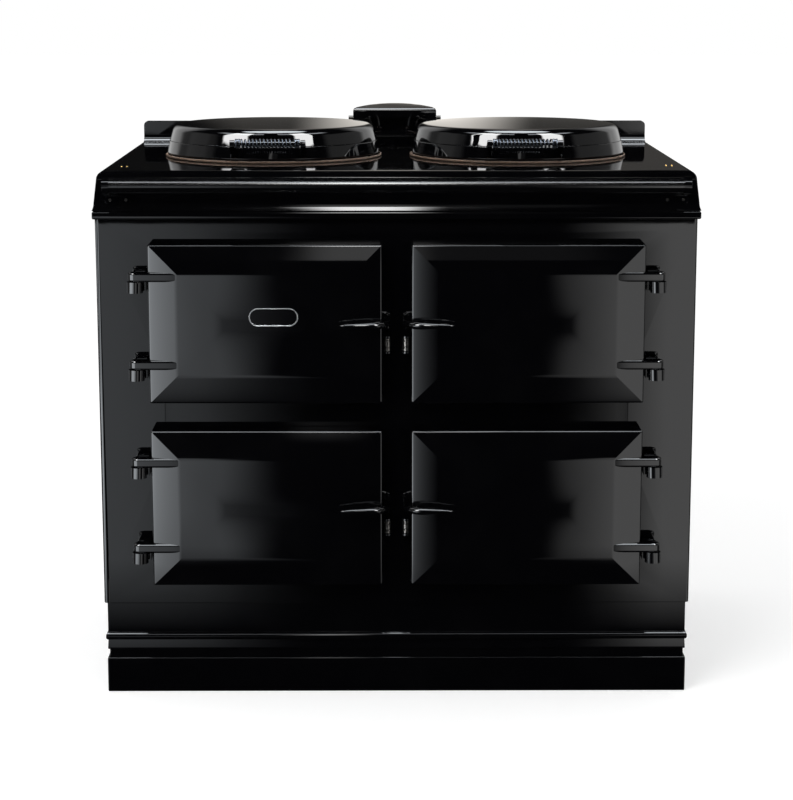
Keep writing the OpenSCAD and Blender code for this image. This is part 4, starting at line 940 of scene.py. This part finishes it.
# %% [markdown]
# ## The braided ropes
# A thin rope of glass fibre, browned by heat, seals each lid. Three strands are wound straight, as
# a coil is, and then the whole straight rope is bent into a ring, so the twist meets itself.

# %% Rope rings
ROPE_RADIUS, ROPE_ACROSS, ROPE_MIDDLE_Z, PLATE_Y = 188.0, 4.5, 889.05, 25.65
STRANDS, STRAND_ACROSS, FIRST_TWISTS, TWIST_STEPS, DOUBLINGS = 3, 2.5, 3, 8, 5


def rope_ring():
    bm = bmesh.new()
    twists = FIRST_TWISTS * 2 ** DOUBLINGS
    strands = []
    for number in range(STRANDS):
        strand = bmesh.ops.create_circle(bm, segments=6, radius=STRAND_ACROSS / 2)["verts"]
        bmesh.ops.rotate(bm, matrix=Matrix.Rotation(math.radians(90), 3, "Y"), verts=strand)
        bmesh.ops.translate(bm, vec=(0, 0, (ROPE_ACROSS - STRAND_ACROSS) / 2), verts=strand)
        bmesh.ops.rotate(bm, matrix=Matrix.Rotation(2 * math.pi * number / STRANDS, 3, "X"), verts=strand)
        strands += strand
    wind(bm, strands, FIRST_TWISTS, TWIST_STEPS, 2 * math.pi * ROPE_RADIUS / twists, DOUBLINGS)
    for vert in bm.verts:
        turn, out = vert.co.x / ROPE_RADIUS, ROPE_RADIUS + vert.co.y
        vert.co = (out * math.cos(turn), out * math.sin(turn), vert.co.z)
    bmesh.ops.remove_doubles(bm, verts=bm.verts, dist=0.05)
    return bm


ropes = bmesh.new()
for side in SIDES.values():
    ring = rope_ring()
    bmesh.ops.translate(ring, vec=(side * LID_X, PLATE_Y, ROPE_MIDDLE_Z), verts=ring.verts)
    half = bpy.data.meshes.new("rope")
    ring.to_mesh(half)
    ring.free()
    ropes.from_mesh(half)
    bpy.data.meshes.remove(half)
place_piece("lid_rope_rings", ropes, ROPE_FIBRE, "carcass", "rope", "hotplate_rope_seals", sharp=80.0,
            keep_flats=False)

# %% [markdown]
# ## The small plate and the corner pins
# The plate on the upper left door is bare: a dark field in a raised bright rim. A circle is pulled
# apart into a capsule, and its face inset for the rim. Two tiny brass pins sit by each front corner
# of the hob. They are flattened balls, half sunk in the enamel.

# %% Plate and pins
PLATE_WIDE, PLATE_HIGH, PLATE_THICK, PLATE_RIM = 80.0, 30.0, 1.1, 1.5
FIELD_SLOPE, FIELD_SUNK = 0.4, 0.5
PIN_RADIUS, PIN_FLAT = 1.7, 0.6
PLATE_AT = (-14.0, 14.0)
PINS_AT = [(-456.5, 73.0), (-447.5, 74.0), (450.5, 88.0), (460.0, 88.0)]
HOB_Z = 886.8

plate = bmesh.new()
outline = bmesh.ops.create_circle(plate, cap_ends=True, segments=64, radius=PLATE_HIGH / 2)["verts"]
for turned in (-1, 1):
    bmesh.ops.translate(plate, vec=(turned * (PLATE_WIDE - PLATE_HIGH) / 2, 0, 0),
                        verts=[v for v in outline if v.co.x * turned > 0.01])
bmesh.ops.rotate(plate, matrix=Matrix.Rotation(math.radians(90), 3, "X"), verts=plate.verts)
raised = bmesh.ops.extrude_face_region(plate, geom=list(plate.faces))["geom"]
raised_points = [g for g in raised if isinstance(g, bmesh.types.BMVert)]
bmesh.ops.translate(plate, vec=(0, -PLATE_THICK, 0), verts=raised_points)
bmesh.ops.recalc_face_normals(plate, faces=plate.faces)
plate_front = front_faces(plate)
bmesh.ops.inset_region(plate, faces=plate_front, thickness=PLATE_RIM, use_even_offset=True)
bmesh.ops.inset_region(plate, faces=plate_front, thickness=FIELD_SLOPE, depth=-FIELD_SUNK,
                       use_even_offset=True)
for face in plate_front:
    face.material_index = 1
bmesh.ops.translate(plate, vec=(PLATE_AT[0], -FACE, PLATE_AT[1]), verts=plate.verts)
put_in_doorway(plate, LEFT, DOOR_UPS["upper"])
place_piece("bare_plate", plate, PLATE_METAL, "door_upper_left", "plate_metal", "badge_plate", sharp=20.0,
            inlay=SHEET_ENAMEL)

pins = bmesh.new()
for x, behind in PINS_AT:
    ball = bmesh.ops.create_uvsphere(pins, u_segments=20, v_segments=12, radius=PIN_RADIUS)["verts"]
    bmesh.ops.scale(pins, vec=(1, 1, PIN_FLAT), verts=ball)
    bmesh.ops.translate(pins, vec=(x, FRONT + behind, HOB_Z), verts=ball)
place_piece("hob_corner_pins", pins, CORNER_BRASS, "carcass", "bright_steel", sharp=80.0,
            keep_flats=False)

# %% [markdown]
# ## Sizes
# The box of the new model is kept beside the box of the imported one, and how much it grew on
# each axis is printed.

# %% Compare both boxes and finish
dressed_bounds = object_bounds()
packed_span, dressed_span = cad_bounds[1] - cad_bounds[0], dressed_bounds[1] - dressed_bounds[0]
print("grew by mm", [round((a - b) / MM, 2) for a, b in zip(dressed_span, packed_span)])
